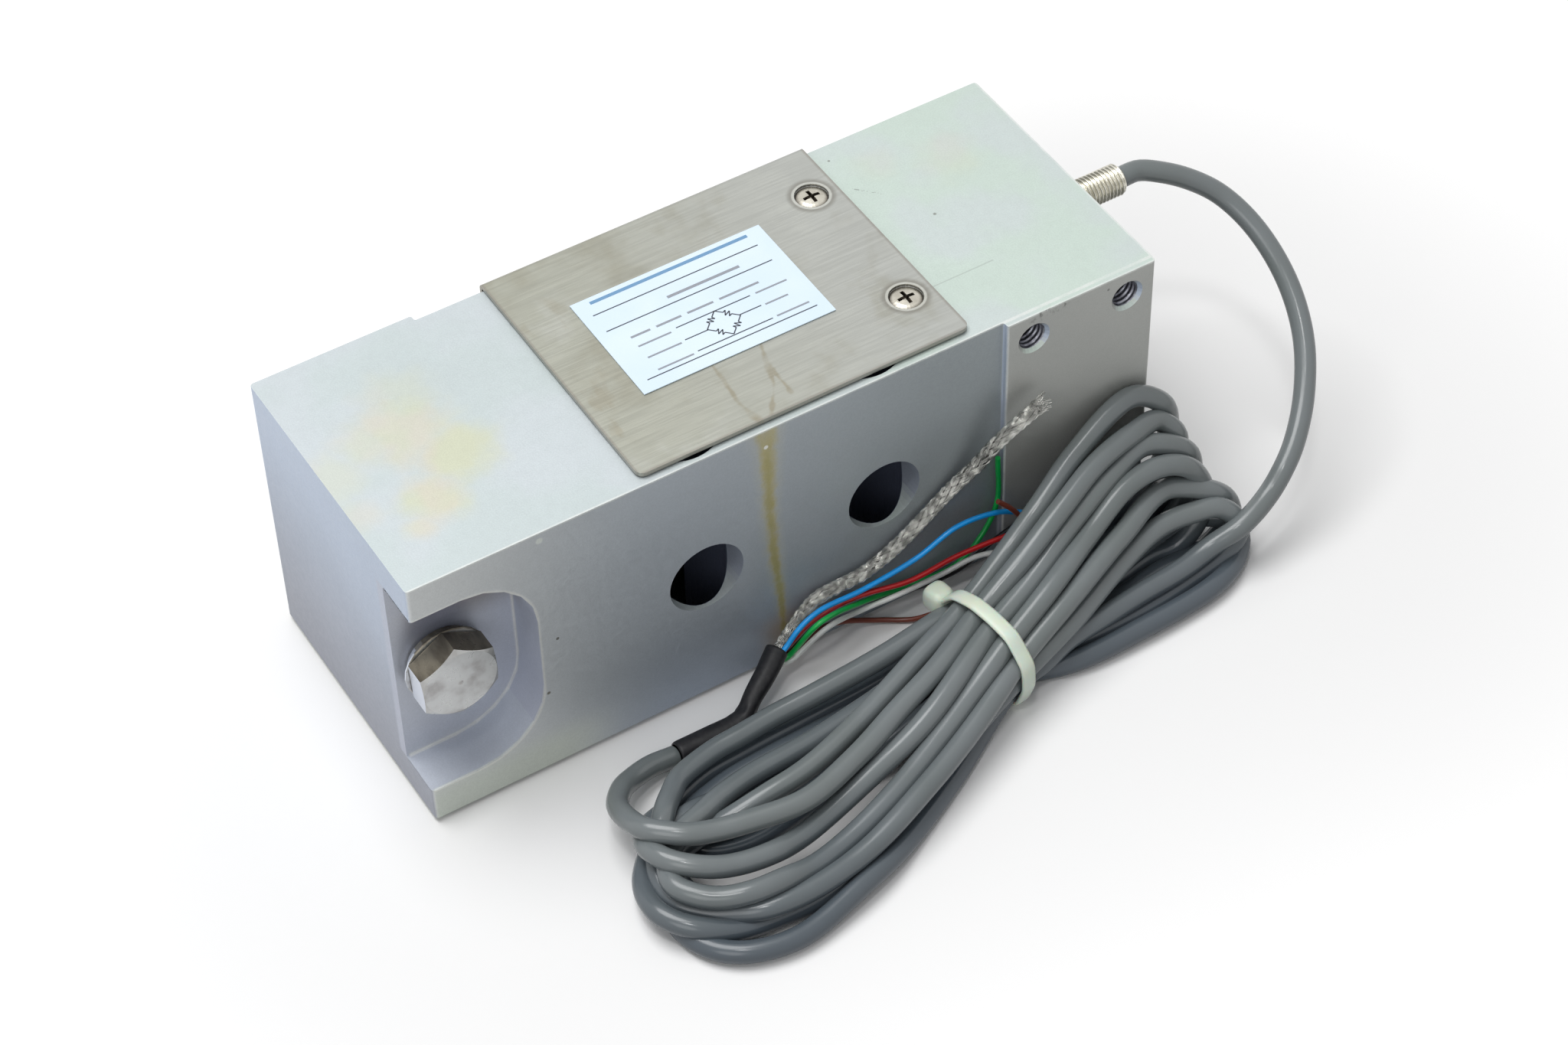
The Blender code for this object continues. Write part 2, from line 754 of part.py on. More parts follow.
def build_overload_stop(parts, cutters, material):
    spacer_front = POCKET_FLOOR - FIT_GAP - STOP_SPACER_THICKNESS
    washer_front = spacer_front - FIT_GAP - STOP_WASHER_THICKNESS
    stop_ring("stop_spacer", STOP_SPACER_DIAMETER, STOP_SPACER_THICKNESS, spacer_front, parts, material)
    stop_ring("stop_washer", STOP_WASHER_DIAMETER, STOP_WASHER_THICKNESS, washer_front, parts, material)

    head_back = washer_front - FIT_GAP
    head_front = head_back - STOP_HEX_HEIGHT
    corner = STOP_HEX_ACROSS_FLATS / math.sqrt(3.0)
    end = STOP_HEX_HEIGHT + STOP_BOLT_LENGTH
    shank = STOP_BOLT_DIAMETER / 2
    bolt_profile = [
        (0.0, 0.0),
        (STOP_HEX_FACE_DIAMETER / 2, 0.0),
        (corner, -STOP_HEX_CHAMFER),
        (corner, -STOP_HEX_HEIGHT),
        (shank, -STOP_HEX_HEIGHT),
        (shank, -end + STOP_POINT_CHAMFER),
        (shank - STOP_POINT_CHAMFER, -end),
        (0.0, -end),
    ]
    place = (STOP_BOLT_X, head_front, BEAM_MIDDLE)
    bolt = turned("stop_bolt", bolt_profile, place, ALONG_Y.inverted(), parts, ROUND_STEPS)
    bolt.data.materials.append(material)
    sixth = math.radians(60.0)
    hexagon = [
        (
            corner * math.cos(STOP_HEX_TURN + sixth * side),
            corner * math.sin(STOP_HEX_TURN + sixth * side),
        )
        for side in range(6)
    ]
    clear = corner + CUT_MARGIN
    surround = [(clear, -clear), (clear, clear), (-clear, clear), (-clear, -clear)]
    centre = Matrix.Translation((STOP_BOLT_X, head_front + STOP_HEX_HEIGHT / 2, BEAM_MIDDLE)) @ FRONT_VIEW
    cut_height = STOP_HEX_HEIGHT + FIT_GAP
    subtract(bolt, [outline_solid("hexagon_flats", [surround, hexagon], cut_height, centre, cutters)])


def build_gland(parts, material):
    outer = GLAND_DIAMETER / 2
    inner = GLAND_BORE / 2
    length = GLAND_PROTRUSION + GLAND_ENGAGEMENT
    profile = [
        (inner, length),
        (outer - GLAND_CHAMFER, length),
        (outer, length - GLAND_CHAMFER),
        (outer, GLAND_CHAMFER),
        (outer - GLAND_CHAMFER, 0.0),
        (inner, 0.0),
    ]
    start = (HALF_LENGTH - GLAND_ENGAGEMENT, GLAND_Y, GLAND_Z)
    gland = turned("cable_gland", profile, start, ALONG_X, parts, closed=True)
    gland.data.materials.append(material)


def build_sensing_parts(parts, materials):
    """Strain gauges on the thin walls, the terminal board and the cable core that reaches it."""
    wall = BORE_Y + BORE_DIAMETER / 2
    gauge_y = wall - 2 * FIT_GAP - GAUGE_SIZE[1] / 2
    gauge_z = BEAM_TOP - GAUGE_FROM_TOP
    number = 0
    for side in (-1, 1):
        for end in (-1, 1):
            number += 1
            centre = (end * BORE_SPACING / 2, side * gauge_y, gauge_z)
            gauge = box(f"strain_gauge_{number}", GAUGE_SIZE, centre, parts)
            gauge.data.materials.append(materials["gauge"])
    board_x = WINDOW_RIGHT - FIT_GAP - BOARD_SIZE[0] / 2
    board_top = GLAND_Z - PASSAGE_DIAMETER / 2 - BOARD_BELOW_PASSAGE
    board_centre = (board_x, GLAND_Y, board_top - BOARD_SIZE[2] / 2)
    board = box("terminal_board", BOARD_SIZE, board_centre, parts)
    board.data.materials.append(materials["board"])
    resistor_x = board_x - BOARD_SIZE[0] / 2 - FIT_GAP - RESISTOR_SIZE[0] / 2
    for number, side in ((1, -1), (2, 1)):
        centre = (resistor_x, GLAND_Y + side * RESISTOR_SPACING / 2, board_centre[2])
        resistor = box(f"trim_resistor_{number}", RESISTOR_SIZE, centre, parts)
        resistor.data.materials.append(materials["board"])
    core_end = WINDOW_RIGHT - CORE_DIAMETER
    core_points = [
        (GLAND_END - CABLE_START_INSIDE - 2 * FIT_GAP, GLAND_Y, GLAND_Z),
        (HALF_LENGTH, GLAND_Y, GLAND_Z),
        (WINDOW_RIGHT + CORE_DIAMETER, GLAND_Y, GLAND_Z),
        (core_end, GLAND_Y, GLAND_Z),
    ]
    tube("inner_core", core_points, CORE_DIAMETER, parts, materials["core"])


def build_cable(parts, cutters, material):
    tube("cable_run", CABLE_RUN_POINTS, CABLE_DIAMETER, parts, material, 3)
    tube("cable_tail", CABLE_TAIL_POINTS, CABLE_DIAMETER, parts, material, 3)
    curve = bpy.data.curves.new("cable_hank_outline", "CURVE")
    curve.dimensions = "2D"
    curve.fill_mode = "BOTH"
    curve.resolution_u = 4
    curve.extrude = (HANK_RIGHT_HEIGHT - HANK_BASE) / 2
    spline = curve.splines.new("BEZIER")
    spline.bezier_points.add(len(HANK_OUTLINE_POINTS) - 1)
    for point, (x, y) in zip(spline.bezier_points, HANK_OUTLINE_POINTS):
        point.co = (x, y, 0.0)
        point.handle_left_type = "AUTO"
        point.handle_right_type = "AUTO"
    spline.use_cyclic_u = True
    middle = Matrix.Translation((0.0, 0.0, (HANK_RIGHT_HEIGHT + HANK_BASE) / 2))
    source = add_object("cable_hank_source", curve, parts, middle)
    hank = mesh_from_object("cable_hank", source, parts)
    hank.data.materials.append(material)
    along = [x for x, y in HANK_OUTLINE_POINTS]
    across = [y for x, y in HANK_OUTLINE_POINTS]
    left = min(along) - CABLE_DIAMETER
    right = max(along) + CABLE_DIAMETER
    above = HANK_RIGHT_HEIGHT + CABLE_DIAMETER
    waist = TIE_CENTRE[0] + TIE_WIDTH
    profile = [
        (left, HANK_LEFT_HEIGHT),
        (waist, HANK_LEFT_HEIGHT),
        (right, HANK_RIGHT_HEIGHT),
        (right, above),
        (left, above),
    ]
    place = Matrix.Translation((0.0, (min(across) + max(across)) / 2, 0.0)) @ FRONT_VIEW
    width = max(across) - min(across) + 2 * CABLE_DIAMETER
    trim = outline_solid("hank_top_trim", [profile], width, place, cutters)
    subtract(hank, [trim])


def build_tie(parts, cutters, material):
    """Strap round the hank's waist and its moulded head, one piece."""
    top = HANK_LEFT_HEIGHT + FIT_GAP + TIE_THICKNESS
    bottom = HANK_BASE - FIT_GAP - TIE_THICKNESS
    reach = TIE_HALF_WIDTH + FIT_GAP + TIE_THICKNESS

    def strap_loop(inset):
        radius = max(TIE_CORNER_RADIUS - inset, TIE_LEAST_RADIUS)
        return rounded_loop([
            (-reach + inset, bottom + inset, radius),
            (reach - inset, bottom + inset, radius),
            (reach - inset, top - inset, radius),
            (-reach + inset, top - inset, radius),
        ])

    turn = Matrix.Rotation(TIE_TURN, 4, "Z")
    place = Matrix.Translation((*TIE_CENTRE, 0.0)) @ turn
    strap_loops = [strap_loop(0.0), strap_loop(TIE_THICKNESS)]
    strap = outline_solid("cable_tie", strap_loops, TIE_WIDTH, place @ END_VIEW, parts)
    strap.data.materials.append(material)
    head_centre = (0.0, reach + TIE_HEAD_SIZE[1] / 2 - TIE_THICKNESS / 2, top - TIE_HEAD_SIZE[2])
    head = box("tie_head", TIE_HEAD_SIZE, (0.0, 0.0, 0.0), cutters)
    head.matrix_world = place @ Matrix.Translation(head_centre)
    join = strap.modifiers.new("head", "BOOLEAN")
    join.operation = "UNION"
    join.object = head
    join.solver = "EXACT"


def build_stripped_end(parts, materials):
    tube("end_sleeve", SLEEVE_POINTS, SLEEVE_DIAMETER, parts, materials["sleeve"], 3)
    tube("shield_braid", BRAID_POINTS, BRAID_DIAMETER, parts, materials["braid"])
    for colour, points in WIRE_POINTS.items():
        tube("wire_" + colour, points, WIRE_DIAMETER, parts, materials["wire_" + colour])


def make_materials():
    palette = {
        "aluminium": ((0.60, 0.63, 0.64), 0.42, 0.85),
        "stainless": ((0.72, 0.70, 0.64), 0.35, 0.9),
        "zinc_steel": ((0.66, 0.65, 0.60), 0.35, 0.9),
        "nickel": ((0.75, 0.73, 0.67), 0.28, 1.0),
        "label": ((0.86, 0.89, 0.95), 0.35, 0.0),
        "cable": ((0.33, 0.35, 0.36), 0.38, 0.0),
        "tie": ((0.78, 0.84, 0.78), 0.4, 0.0),
        "sleeve": ((0.03, 0.03, 0.03), 0.5, 0.0),
        "braid": ((0.55, 0.52, 0.48), 0.35, 0.9),
        "wire_blue": ((0.05, 0.33, 0.75), 0.35, 0.0),
        "wire_red": ((0.62, 0.05, 0.05), 0.35, 0.0),
        "wire_green": ((0.02, 0.32, 0.10), 0.35, 0.0),
        "wire_white": ((0.85, 0.85, 0.83), 0.35, 0.0),
        "wire_brown": ((0.25, 0.08, 0.04), 0.35, 0.0),
        "wire_black": ((0.02, 0.02, 0.02), 0.35, 0.0),
        "gauge": ((0.75, 0.55, 0.25), 0.4, 0.0),
        "board": ((0.08, 0.30, 0.14), 0.5, 0.0),
        "core": ((0.80, 0.80, 0.78), 0.5, 0.0),
    }
    return {name: new_material(name, *values) for name, values in palette.items()}


def main():
    clear_scene()
    parts = new_collection("load_cell")
    cutters = new_collection("cutters")
    materials = make_materials()
    screw_cutters = screw_hole_cutters(cutters)
    build_beam(parts, cutters, screw_cutters, materials["aluminium"])
    build_cover(parts, screw_cutters, materials["stainless"])
    build_cover_screws(parts, cutters, materials["zinc_steel"])
    build_label(parts, materials["label"])
    build_overload_stop(parts, cutters, materials["zinc_steel"])
    build_gland(parts, materials["nickel"])
    build_sensing_parts(parts, materials)
    build_cable(parts, cutters, materials["cable"])
    build_tie(parts, cutters, materials["tie"])
    build_stripped_end(parts, materials)
    for item in cutters.objects:
        hide_cutter(item)


main()
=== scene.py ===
"""Looks of the single point load cell: its finishes, wound cable, stripped end and plain label print."""

import math

import bmesh
import bpy
import numpy as np
from mathutils import Matrix, Vector


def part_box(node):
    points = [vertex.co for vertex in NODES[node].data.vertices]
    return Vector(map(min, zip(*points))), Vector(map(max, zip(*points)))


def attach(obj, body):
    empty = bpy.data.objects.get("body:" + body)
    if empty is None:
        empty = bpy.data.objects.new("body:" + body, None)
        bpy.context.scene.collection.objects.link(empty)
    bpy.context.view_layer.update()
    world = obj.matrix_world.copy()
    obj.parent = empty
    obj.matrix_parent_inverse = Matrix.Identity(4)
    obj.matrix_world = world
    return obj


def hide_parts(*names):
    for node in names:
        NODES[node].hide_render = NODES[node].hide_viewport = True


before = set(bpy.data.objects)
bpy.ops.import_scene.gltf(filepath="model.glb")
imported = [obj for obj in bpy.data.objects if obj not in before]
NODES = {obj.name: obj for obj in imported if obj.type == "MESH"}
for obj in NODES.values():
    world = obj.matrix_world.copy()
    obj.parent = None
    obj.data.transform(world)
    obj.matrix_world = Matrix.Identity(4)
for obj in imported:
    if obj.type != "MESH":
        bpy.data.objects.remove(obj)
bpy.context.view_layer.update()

ROOT = "root"
MM = 0.001

# Camera, as the photograph was taken
CAMERA_PLACE = (-0.2987, -0.5414, 0.6686)
CAMERA_DOWN = math.radians(46.80)
CAMERA_TURN = math.radians(30.32)
CAMERA_ROLL = math.radians(-1.77)
CAMERA_LENS = 88.04
CAMERA_SENSOR = 36.0

# Beam and cover, from the frame
BEAM_LOW, BEAM_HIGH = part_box("beam_body")
COVER_LOW, COVER_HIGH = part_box("cover_saddle")
LABEL_LOW, LABEL_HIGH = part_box("label")
GLAND_LOW, GLAND_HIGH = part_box("cable_gland")
PAD_FRONT = BEAM_LOW.y
FRONT_FACE = -0.0360
PAD_START = 0.05505
MID_HEIGHT = 0.0390
POCKET_ROUND_X = -0.08305
POCKET_FLAT_HALF = 0.01045
POCKET_RADIUS = 0.0175
BOLT_DOT = (-0.08425, MID_HEIGHT)
BORE_MIDDLE = (0.0234, 0.0249)
COVER_SCREWS_X = 0.04055
COVER_SCREWS_Y = (-0.0184, 0.0216)
NODE_GLAND_RADIUS = (GLAND_HIGH.y - GLAND_LOW.y) / 2

# Floor, world and lamps
FLOOR_COLOUR = (0.60, 0.60, 0.60)
FLOOR_SEEN = 0.89
# The floor's glow is off within the first reach of the line near the object and full beyond the second, a
# painted shadow round the object.
FLOOR_GLOW = 0.24
FLOOR_GLOW_REACH = (0.050, 0.220)
FLOOR_GLOW_LINE = ((-0.08, -0.035), (0.10, -0.035))
FLOOR_REACH = 6.0
WORLD_LEVEL = 0.27
KEY_LIGHT = ((-0.35, 0.38, 1.85), (0.0, 0.0, 0.0), 1.3, 26.0)
FILL_LIGHT = ((-1.0, -0.9, 0.9), (0.0, 0.0, 0.03), 0.9, 4.0)
SMALL_LIGHT = ((-0.35, -0.50, 1.60), (0.0, 0.0, 0.0), 0.20, 3.0)

# Cable, wires and tie
CABLE_DIAMETER = 0.0052
BRAID_DIAMETER = 0.0036
WIRE_DIAMETER = 0.0013
GLAND_AXIS = (0.0002, 0.0646)

# Routes that the model's own cable solids follow. The points were picked on the photograph. Those
# of the braid and the wires were then moved by a least-squares fit that keeps them apart, not by hand
CABLE_RUN_POINTS = [
    (0.10525, 0.0002, 0.0646),
    (0.11225, 0.0002, 0.0646),
    (0.1175, 0.0001, 0.0645),
    (0.1222, -0.0023, 0.0636),
    (0.1281, -0.0056, 0.0611),
    (0.1339, -0.0102, 0.0572),
    (0.1378, -0.0175, 0.0523),
    (0.1395, -0.0265, 0.0464),
    (0.1388, -0.0357, 0.0404),
    (0.1356, -0.0447, 0.0344),
    (0.1294, -0.0536, 0.0277),
    (0.1222, -0.0603, 0.0226),
    (0.1168, -0.0637, 0.0196),
]
SLEEVE_POINTS = [
    (-0.0411, -0.0504, 0.0034),
    (-0.0321, -0.0504, 0.0034),
    (-0.0262, -0.0504, 0.0036),
    (-0.0234, -0.0498, 0.0044),
    (-0.0195, -0.0474, 0.0067),
    (-0.0143, -0.0447, 0.0090),
    (-0.0093, -0.0414, 0.0107),
]
BRAID_POINTS = [
    (-0.0080, -0.0403, 0.0102),
    (-0.0026, -0.0393, 0.0147),
    (0.0033, -0.0386, 0.0183),
    (0.0161, -0.0383, 0.0190),
    (0.0255, -0.0383, 0.0231),
    (0.0400, -0.0383, 0.0334),
    (0.0464, -0.0396, 0.0393),
    (0.0501, -0.0409, 0.0444),
    (0.0557, -0.0420, 0.0494),
    (0.0638, -0.0422, 0.0533),
]
WIRE_POINTS = {
    "blue": [
        (-0.0077, -0.0428, 0.0121),
        (-0.0036, -0.0426, 0.0163),
        (0.0020, -0.0419, 0.0180),
        (0.0144, -0.0409, 0.0169),
        (0.0292, -0.0407, 0.0187),
        (0.0404, -0.0405, 0.0226),
        (0.0517, -0.0405, 0.0210),
        (0.0584, -0.0409, 0.0175),
    ],
    "red": [
        (-0.0065, -0.0400, 0.0077),
        (0.0016, -0.0391, 0.0120),
        (0.0122, -0.0404, 0.0149),
        (0.0270, -0.0415, 0.0131),
        (0.0401, -0.0412, 0.0135),
        (0.0547, -0.0427, 0.0142),
    ],
    "green": [
        (-0.0067, -0.0420, 0.0076),
        (-0.0001, -0.0454, 0.0184),
        (0.0145, -0.0407, 0.0125),
        (0.0297, -0.0374, 0.0062),
        (0.0420, -0.0384, 0.0072),
        (0.0501, -0.0377, 0.0134),
        (0.0535, -0.0375, 0.0209),
        (0.0534, -0.0375, 0.0356),
    ],
    "white": [
        (-0.0059, -0.0420, 0.0060),
        (0.0038, -0.0422, 0.0114),
        (0.0152, -0.0396, 0.0084),
        (0.0226, -0.0415, 0.0103),
        (0.0360, -0.0407, 0.0091),
        (0.0451, -0.0415, 0.0106),
        (0.0514, -0.0427, 0.0099),
    ],
    "brown": [
        (-0.0049, -0.0407, 0.0047),
        (0.0045, -0.0376, 0.0060),
        (0.0110, -0.0373, 0.0045),
        (0.0199, -0.0391, 0.0014),
        (0.0270, -0.0429, 0.0010),
        (0.0322, -0.0440, 0.0010),
        (0.0398, -0.0458, 0.0010),
        (0.0477, -0.0462, 0.0020),
        (0.0575, -0.0426, 0.0075),
        (0.0584, -0.0436, 0.0145),
        (0.0567, -0.0433, 0.0185),
        (0.0537, -0.0429, 0.0233),
        (0.0504, -0.0423, 0.0270),
    ],
    "black": [
        (-0.0053, -0.0403, 0.0064),
        (0.0026, -0.0391, 0.0097),
        (0.0091, -0.0383, 0.0098),
        (0.0164, -0.0377, 0.0085),
        (0.0298, -0.0373, 0.0044),
        (0.0427, -0.0378, 0.0042),
        (0.0515, -0.0392, 0.0101),
        (0.0570, -0.0413, 0.0151),
    ],
}

# The hank's own frame: its origin is under the tie, and its places are (along, across, up) in millimetres
HANK_CENTRE = (0.0312, -0.0657)
HANK_TURN = math.radians(9.6)
LEAD_PLACES = [
    (79, -13, 15),
    (70, -13, 10.5),
    (63, -11.5, 8),
    (53, -11.5, 7),
    (41, -10.5, 7),
    (30, -10, 7.5),
    (18, -9, 7.5),
    (9, -10, 7),
]
LEAD_IN_TIE = (0, -10, 6)

# One row for each turn, first wound first: where it passes on the left half's front, round the left end,
# back along the far side, through the tie, along the floor on the right half, round the right end, and
# over the top to the tie again. They come from picks on the photograph, turned into places through the
# fitted camera and then adjusted
TURNS = [
    {
        "front": [(-28, -19, 3), (-60, -27, 3)],
        "left_end": [
            (-81, -29.5, 3), (-91, -26, 3), (-96, -21, 3),
            (-98.5, -14.5, 3), (-98.5, -8, 3), (-97, -0.5, 3),
            (-93, 5, 3),
        ],
        "back": [(-87.5, 9.5, 3), (-82, 11, 3), (-75, 8.5, 3), (-60, 3, 3), (-32, 0, 3)],
        "tie_below": (0, -5, 3),
        "floor": [(17, -12.5, 3), (34, -15.5, 3), (54.5, -17.5, 3)],
        "right_end": [(63, -16, 3), (70.5, -13, 3.5), (73, -11, 6), (72.5, -8, 9)],
        "over": [(64.5, -2, 9.5), (55, -1, 9.5), (44, -1.5, 9), (33, -3, 8.5), (18, -6.5, 8.5)],
        "tie_above": (0, -4.5, 9.5),
    },
    {
        "front": [(-20, -2, 4), (-55, -3, 3)],
        "left_end": [(-75, -2, 3), (-84, 4, 3), (-82, 11, 3)],
        "back": [(-68, 14, 3), (-45, 12, 3), (-22, 8, 3)],
        "tie_below": (0, 0, 3),
        "floor": [(17, -7, 3), (36, -11.5, 3), (52, -12.5, 3)],
        "right_end": [(66.5, -12.5, 3), (72.5, -11.5, 6.5), (72, -9, 11.5)],
        "over": [(68.5, -6.5, 15), (61, -4.5, 15.5), (51.5, -3.5, 15.5), (39, -5, 14.5), (18, -9.5, 12.5)],
        "tie_above": (0, -11.3, 10),
    },
    {
        "front": [(-25, -16.5, 7), (-48, -22, 5)],
        "left_end": [
            (-66.5, -25.5, 4), (-86, -20.5, 3), (-94, -16.5, 3.5),
            (-99, -11, 4), (-100.5, -5.5, 5), (-98, 1, 5),
            (-94, 5.5, 5),
        ],
        "back": [(-88.5, 9.5, 5), (-81.5, 11, 4), (-73.5, 11, 3), (-60, 8.5, 3), (-30, 4, 3)],
        "tie_below": (0, 5, 3.5),
        "floor": [(17, 0, 3), (36, -5, 3), (52, -6, 3)],
        "right_end": [(66, -8, 3), (73.5, -8.5, 7), (71.5, -6, 14.5)],
        "over": [(59.5, 0.5, 21), (40, -3, 20.5), (18, -8, 18.5)],
        "tie_above": (0, -10.3, 13.8),
    },
    {
        "front": [(-8, -12.5, 13), (-34, -19.5, 8.5), (-60, -24, 7)],
        "left_end": [
            (-83, -21, 6), (-89.5, -17, 5.5), (-94.5, -12, 5),
            (-97.5, -6, 5), (-96.5, 0.5, 5.5), (-93.5, 5, 7),
            (-90.5, 7.5, 9.5), (-86, 11, 10.5), (-80.5, 15, 9.5), (-75.5, 18, 9),
        ],
        "back": [(-65.5, 19, 9), (-58, 18, 9.5), (-49, 17, 10), (-39, 15, 11), (-20, 12, 12.5)],
        "tie_below": (0, 10.8, 13),
        "floor": [(22, 12, 5), (36, 13.5, 3), (50, 14, 3)],
        "right_end": [(62, 14, 4), (70.7, 13.5, 12), (71.7, 13, 22)],
        "over": [(68.2, 12.5, 34), (60.5, 15.3, 39), (41, 14, 34), (28, 11.3, 29), (16, 10, 22.5)],
        "tie_above": (0, 7, 17.8),
    },
    {
        "front": [(-18, 4, 15.5), (-37, 0.5, 14), (-54.5, -1.5, 13), (-66, -0.5, 12)],
        "left_end": [
            (-75, 1.5, 10), (-83, 4.5, 7), (-88.5, 5, 5.5), (-92, 2, 4), (-92.5, -3.5, 3), (-89, -10.5, 3),
            (-80, -16.5, 3),
        ],
        "back": [(-62, -19, 3), (-39, -17, 3), (-14, -8, 4)],
        "tie_below": (0, 0.5, 8),
        "floor": [(15, 1.5, 5), (36, -1, 3), (52, -1, 3)],
        "right_end": [(60, -2.5, 3), (66, -3.5, 8), (68.8, -3.5, 15)],
        "over": [(64.2, -1, 25), (58, 1.8, 28), (47, 3, 28), (33, 0.5, 24), (17, -4, 22)],
        "tie_above": (0, -7.3, 16.8),
    },
    {
        "front": [(-23, -13.5, 13), (-44, -18, 10), (-68, -20.5, 8)],
        "left_end": [
            (-78, -20, 10), (-85, -18, 10), (-90.5, -14.5, 9.5),
            (-94.5, -10, 9.5), (-96.5, -4.5, 9), (-94.5, 1.5, 8),
            (-89.5, 6, 8),
        ],
        "back": [
            (-85, 6.5, 9), (-80, 6.5, 9.5), (-73, 7.5, 9.5), (-63.5, 8, 9), (-46.5, 6.5, 8.5), (-30, 6, 8.5)
        ],
        "tie_below": (0, 5, 9.5),
        "floor": [(20, 5, 5), (36, 4, 3), (50, 4, 3)],
        "right_end": [(58.5, 3.5, 3), (65.5, 2.5, 8), (68.5, 2, 16)],
        "over": [
            (67.8, 2.5, 24.5),
            (63.5, 4.5, 29.2),
            (56.5, 7.3, 31.8),
            (46, 6.3, 30.2),
            (32, 4, 27),
            (16, 0, 23),
        ],
        "tie_above": (0, -3, 19),
    },
    {
        "front": [(-25.5, -10, 15), (-43.5, -11.5, 12), (-66, -12.5, 9)],
        "left_end": [
            (-76, -13, 11.5), (-84, -10.5, 12), (-90, -7, 12.5),
            (-94.5, -1.5, 12), (-95, 4, 11), (-92.5, 8.5, 9),
        ],
        "back": [
            (-87, 12.5, 6.5), (-82, 14.5, 4.5), (-77, 16, 3.5),
            (-67.5, 18, 3), (-55.5, 17.5, 3), (-43, 16, 3),
            (-18, 12, 4),
        ],
        "tie_below": (0, 10.3, 8),
        "floor": [(20, 9, 3), (36, 9, 3), (50, 9, 3)],
        "right_end": [(58.5, 9, 3), (65, 7.5, 9), (68, 6.5, 19)],
        "over": [
            (67.8, 6.5, 28.2), (64.5, 10, 32.3), (56, 9.5, 34), (44, 9, 33), (29, 6, 30), (14.5, 3.5, 25)
        ],
        "tie_above": (0, 2, 19.4),
    },
]
TURN_ORDER = ("front", "left_end", "back", "tie_below", "floor", "right_end", "over", "tie_above")
TAIL_PLACES = [
    (-15, -2, 18),
    (-31, -5, 17),
    (-46, -8, 16),
    (-62, -9.5, 15.5),
    (-74.5, -6, 15.5),
    (-83, -2.5, 15.5),
    (-88, 0, 16),
    (-91.5, 3.5, 16),
    (-94, 7.5, 15.5),
    (-94, 11.5, 14),
    (-93, 17, 12),
    (-91, 21, 10),
    (-86.5, 25, 8),
    (-82, 27, 6),
    (-76, 28, 4.5),
    (-69.4, 27.7, 2.8),
]
CABLE_STEP = 0.0013
CURVE_STEPS = 24

# Settling of the wound cable: strands that lie in one another are moved apart, mostly along the view
SETTLE_ROUNDS = 240
SETTLE_GAP = 0.0049
SETTLE_REACH = 0.0016
SETTLE_NEIGHBOURS = 9
SETTLE_PUSH = 0.22
SETTLE_HOLD = 0.10
SETTLE_HOLD_LAST = 0.01
SETTLE_ALONG_VIEW = 0.15
SETTLE_STIFFNESS = 0.8
SETTLE_SEARCH_EVERY = 6
LEAST_BEND = 0.0085
BEND_PULL = 0.35
BEAM_SIDE_LIMIT = -0.020
BEND_SPAN = 5
EVEN_ROUNDS = 40

WIRE_COLOURS = {
    "blue": (0.008, 0.36, 0.92),
    "red": (0.52, 0.012, 0.015),
    "green": (0.002, 0.40, 0.07),
    "white": (0.90, 0.92, 0.90),
    "brown": (0.20, 0.05, 0.03),
    "black": (0.010, 0.010, 0.012),
}

# Tie
TIE_WIDTH = 0.0038
TIE_THICKNESS = 0.0011
TIE_CLEARANCE = 0.0003
TIE_STEP = 0.0004
TIE_RIDGE = 0.00006
TIE_HEAD_PLACE = (0, 15.2, 14.8)
TIE_HEAD_SIZE = (6.3, 6.4, 6.6)

# Sleeve: share of its length, half width and half depth in millimetres
SLEEVE_SECTIONS = [
    (0.0, 3.0, 3.0),
    (0.02, 3.1, 3.1),
    (0.36, 3.0, 3.0),
    (0.46, 2.9, 2.8),
    (0.52, 2.5, 2.4),
    (0.56, 2.2, 2.0),
    (0.61, 2.25, 2.1),
    (0.75, 2.5, 2.4),
    (0.9, 2.65, 2.6),
    (1.0, 2.7, 2.65),
]
SLEEVE_WALL = 0.0004
SLEEVE_MOUTH_DEPTH = 0.0030

# Braid
BRAID_CARRIERS = 8
BRAID_WIRES = 3
BRAID_WIRE_DIAMETER = 0.00024
BRAID_TURNS_PER_METRE = 36.0
BRAID_WAVE = 0.00022
BRAID_FRAY = 0.0050

# Threads
GLAND_PITCH = 0.0010
GLAND_THREAD_DEPTH = 0.00055
GLAND_BORE_RADIUS = 0.0029
PAD_THREAD_PITCH = 0.00125
PAD_THREAD_OUTER = 0.00347
PAD_THREAD_INNER = 0.00305
PAD_THREAD_START = 0.0009
PAD_THREAD_END = 0.0186
PAD_HOLES_X = (0.06225, 0.08765)
PAD_HOLES_Z = (0.0087, 0.0693)

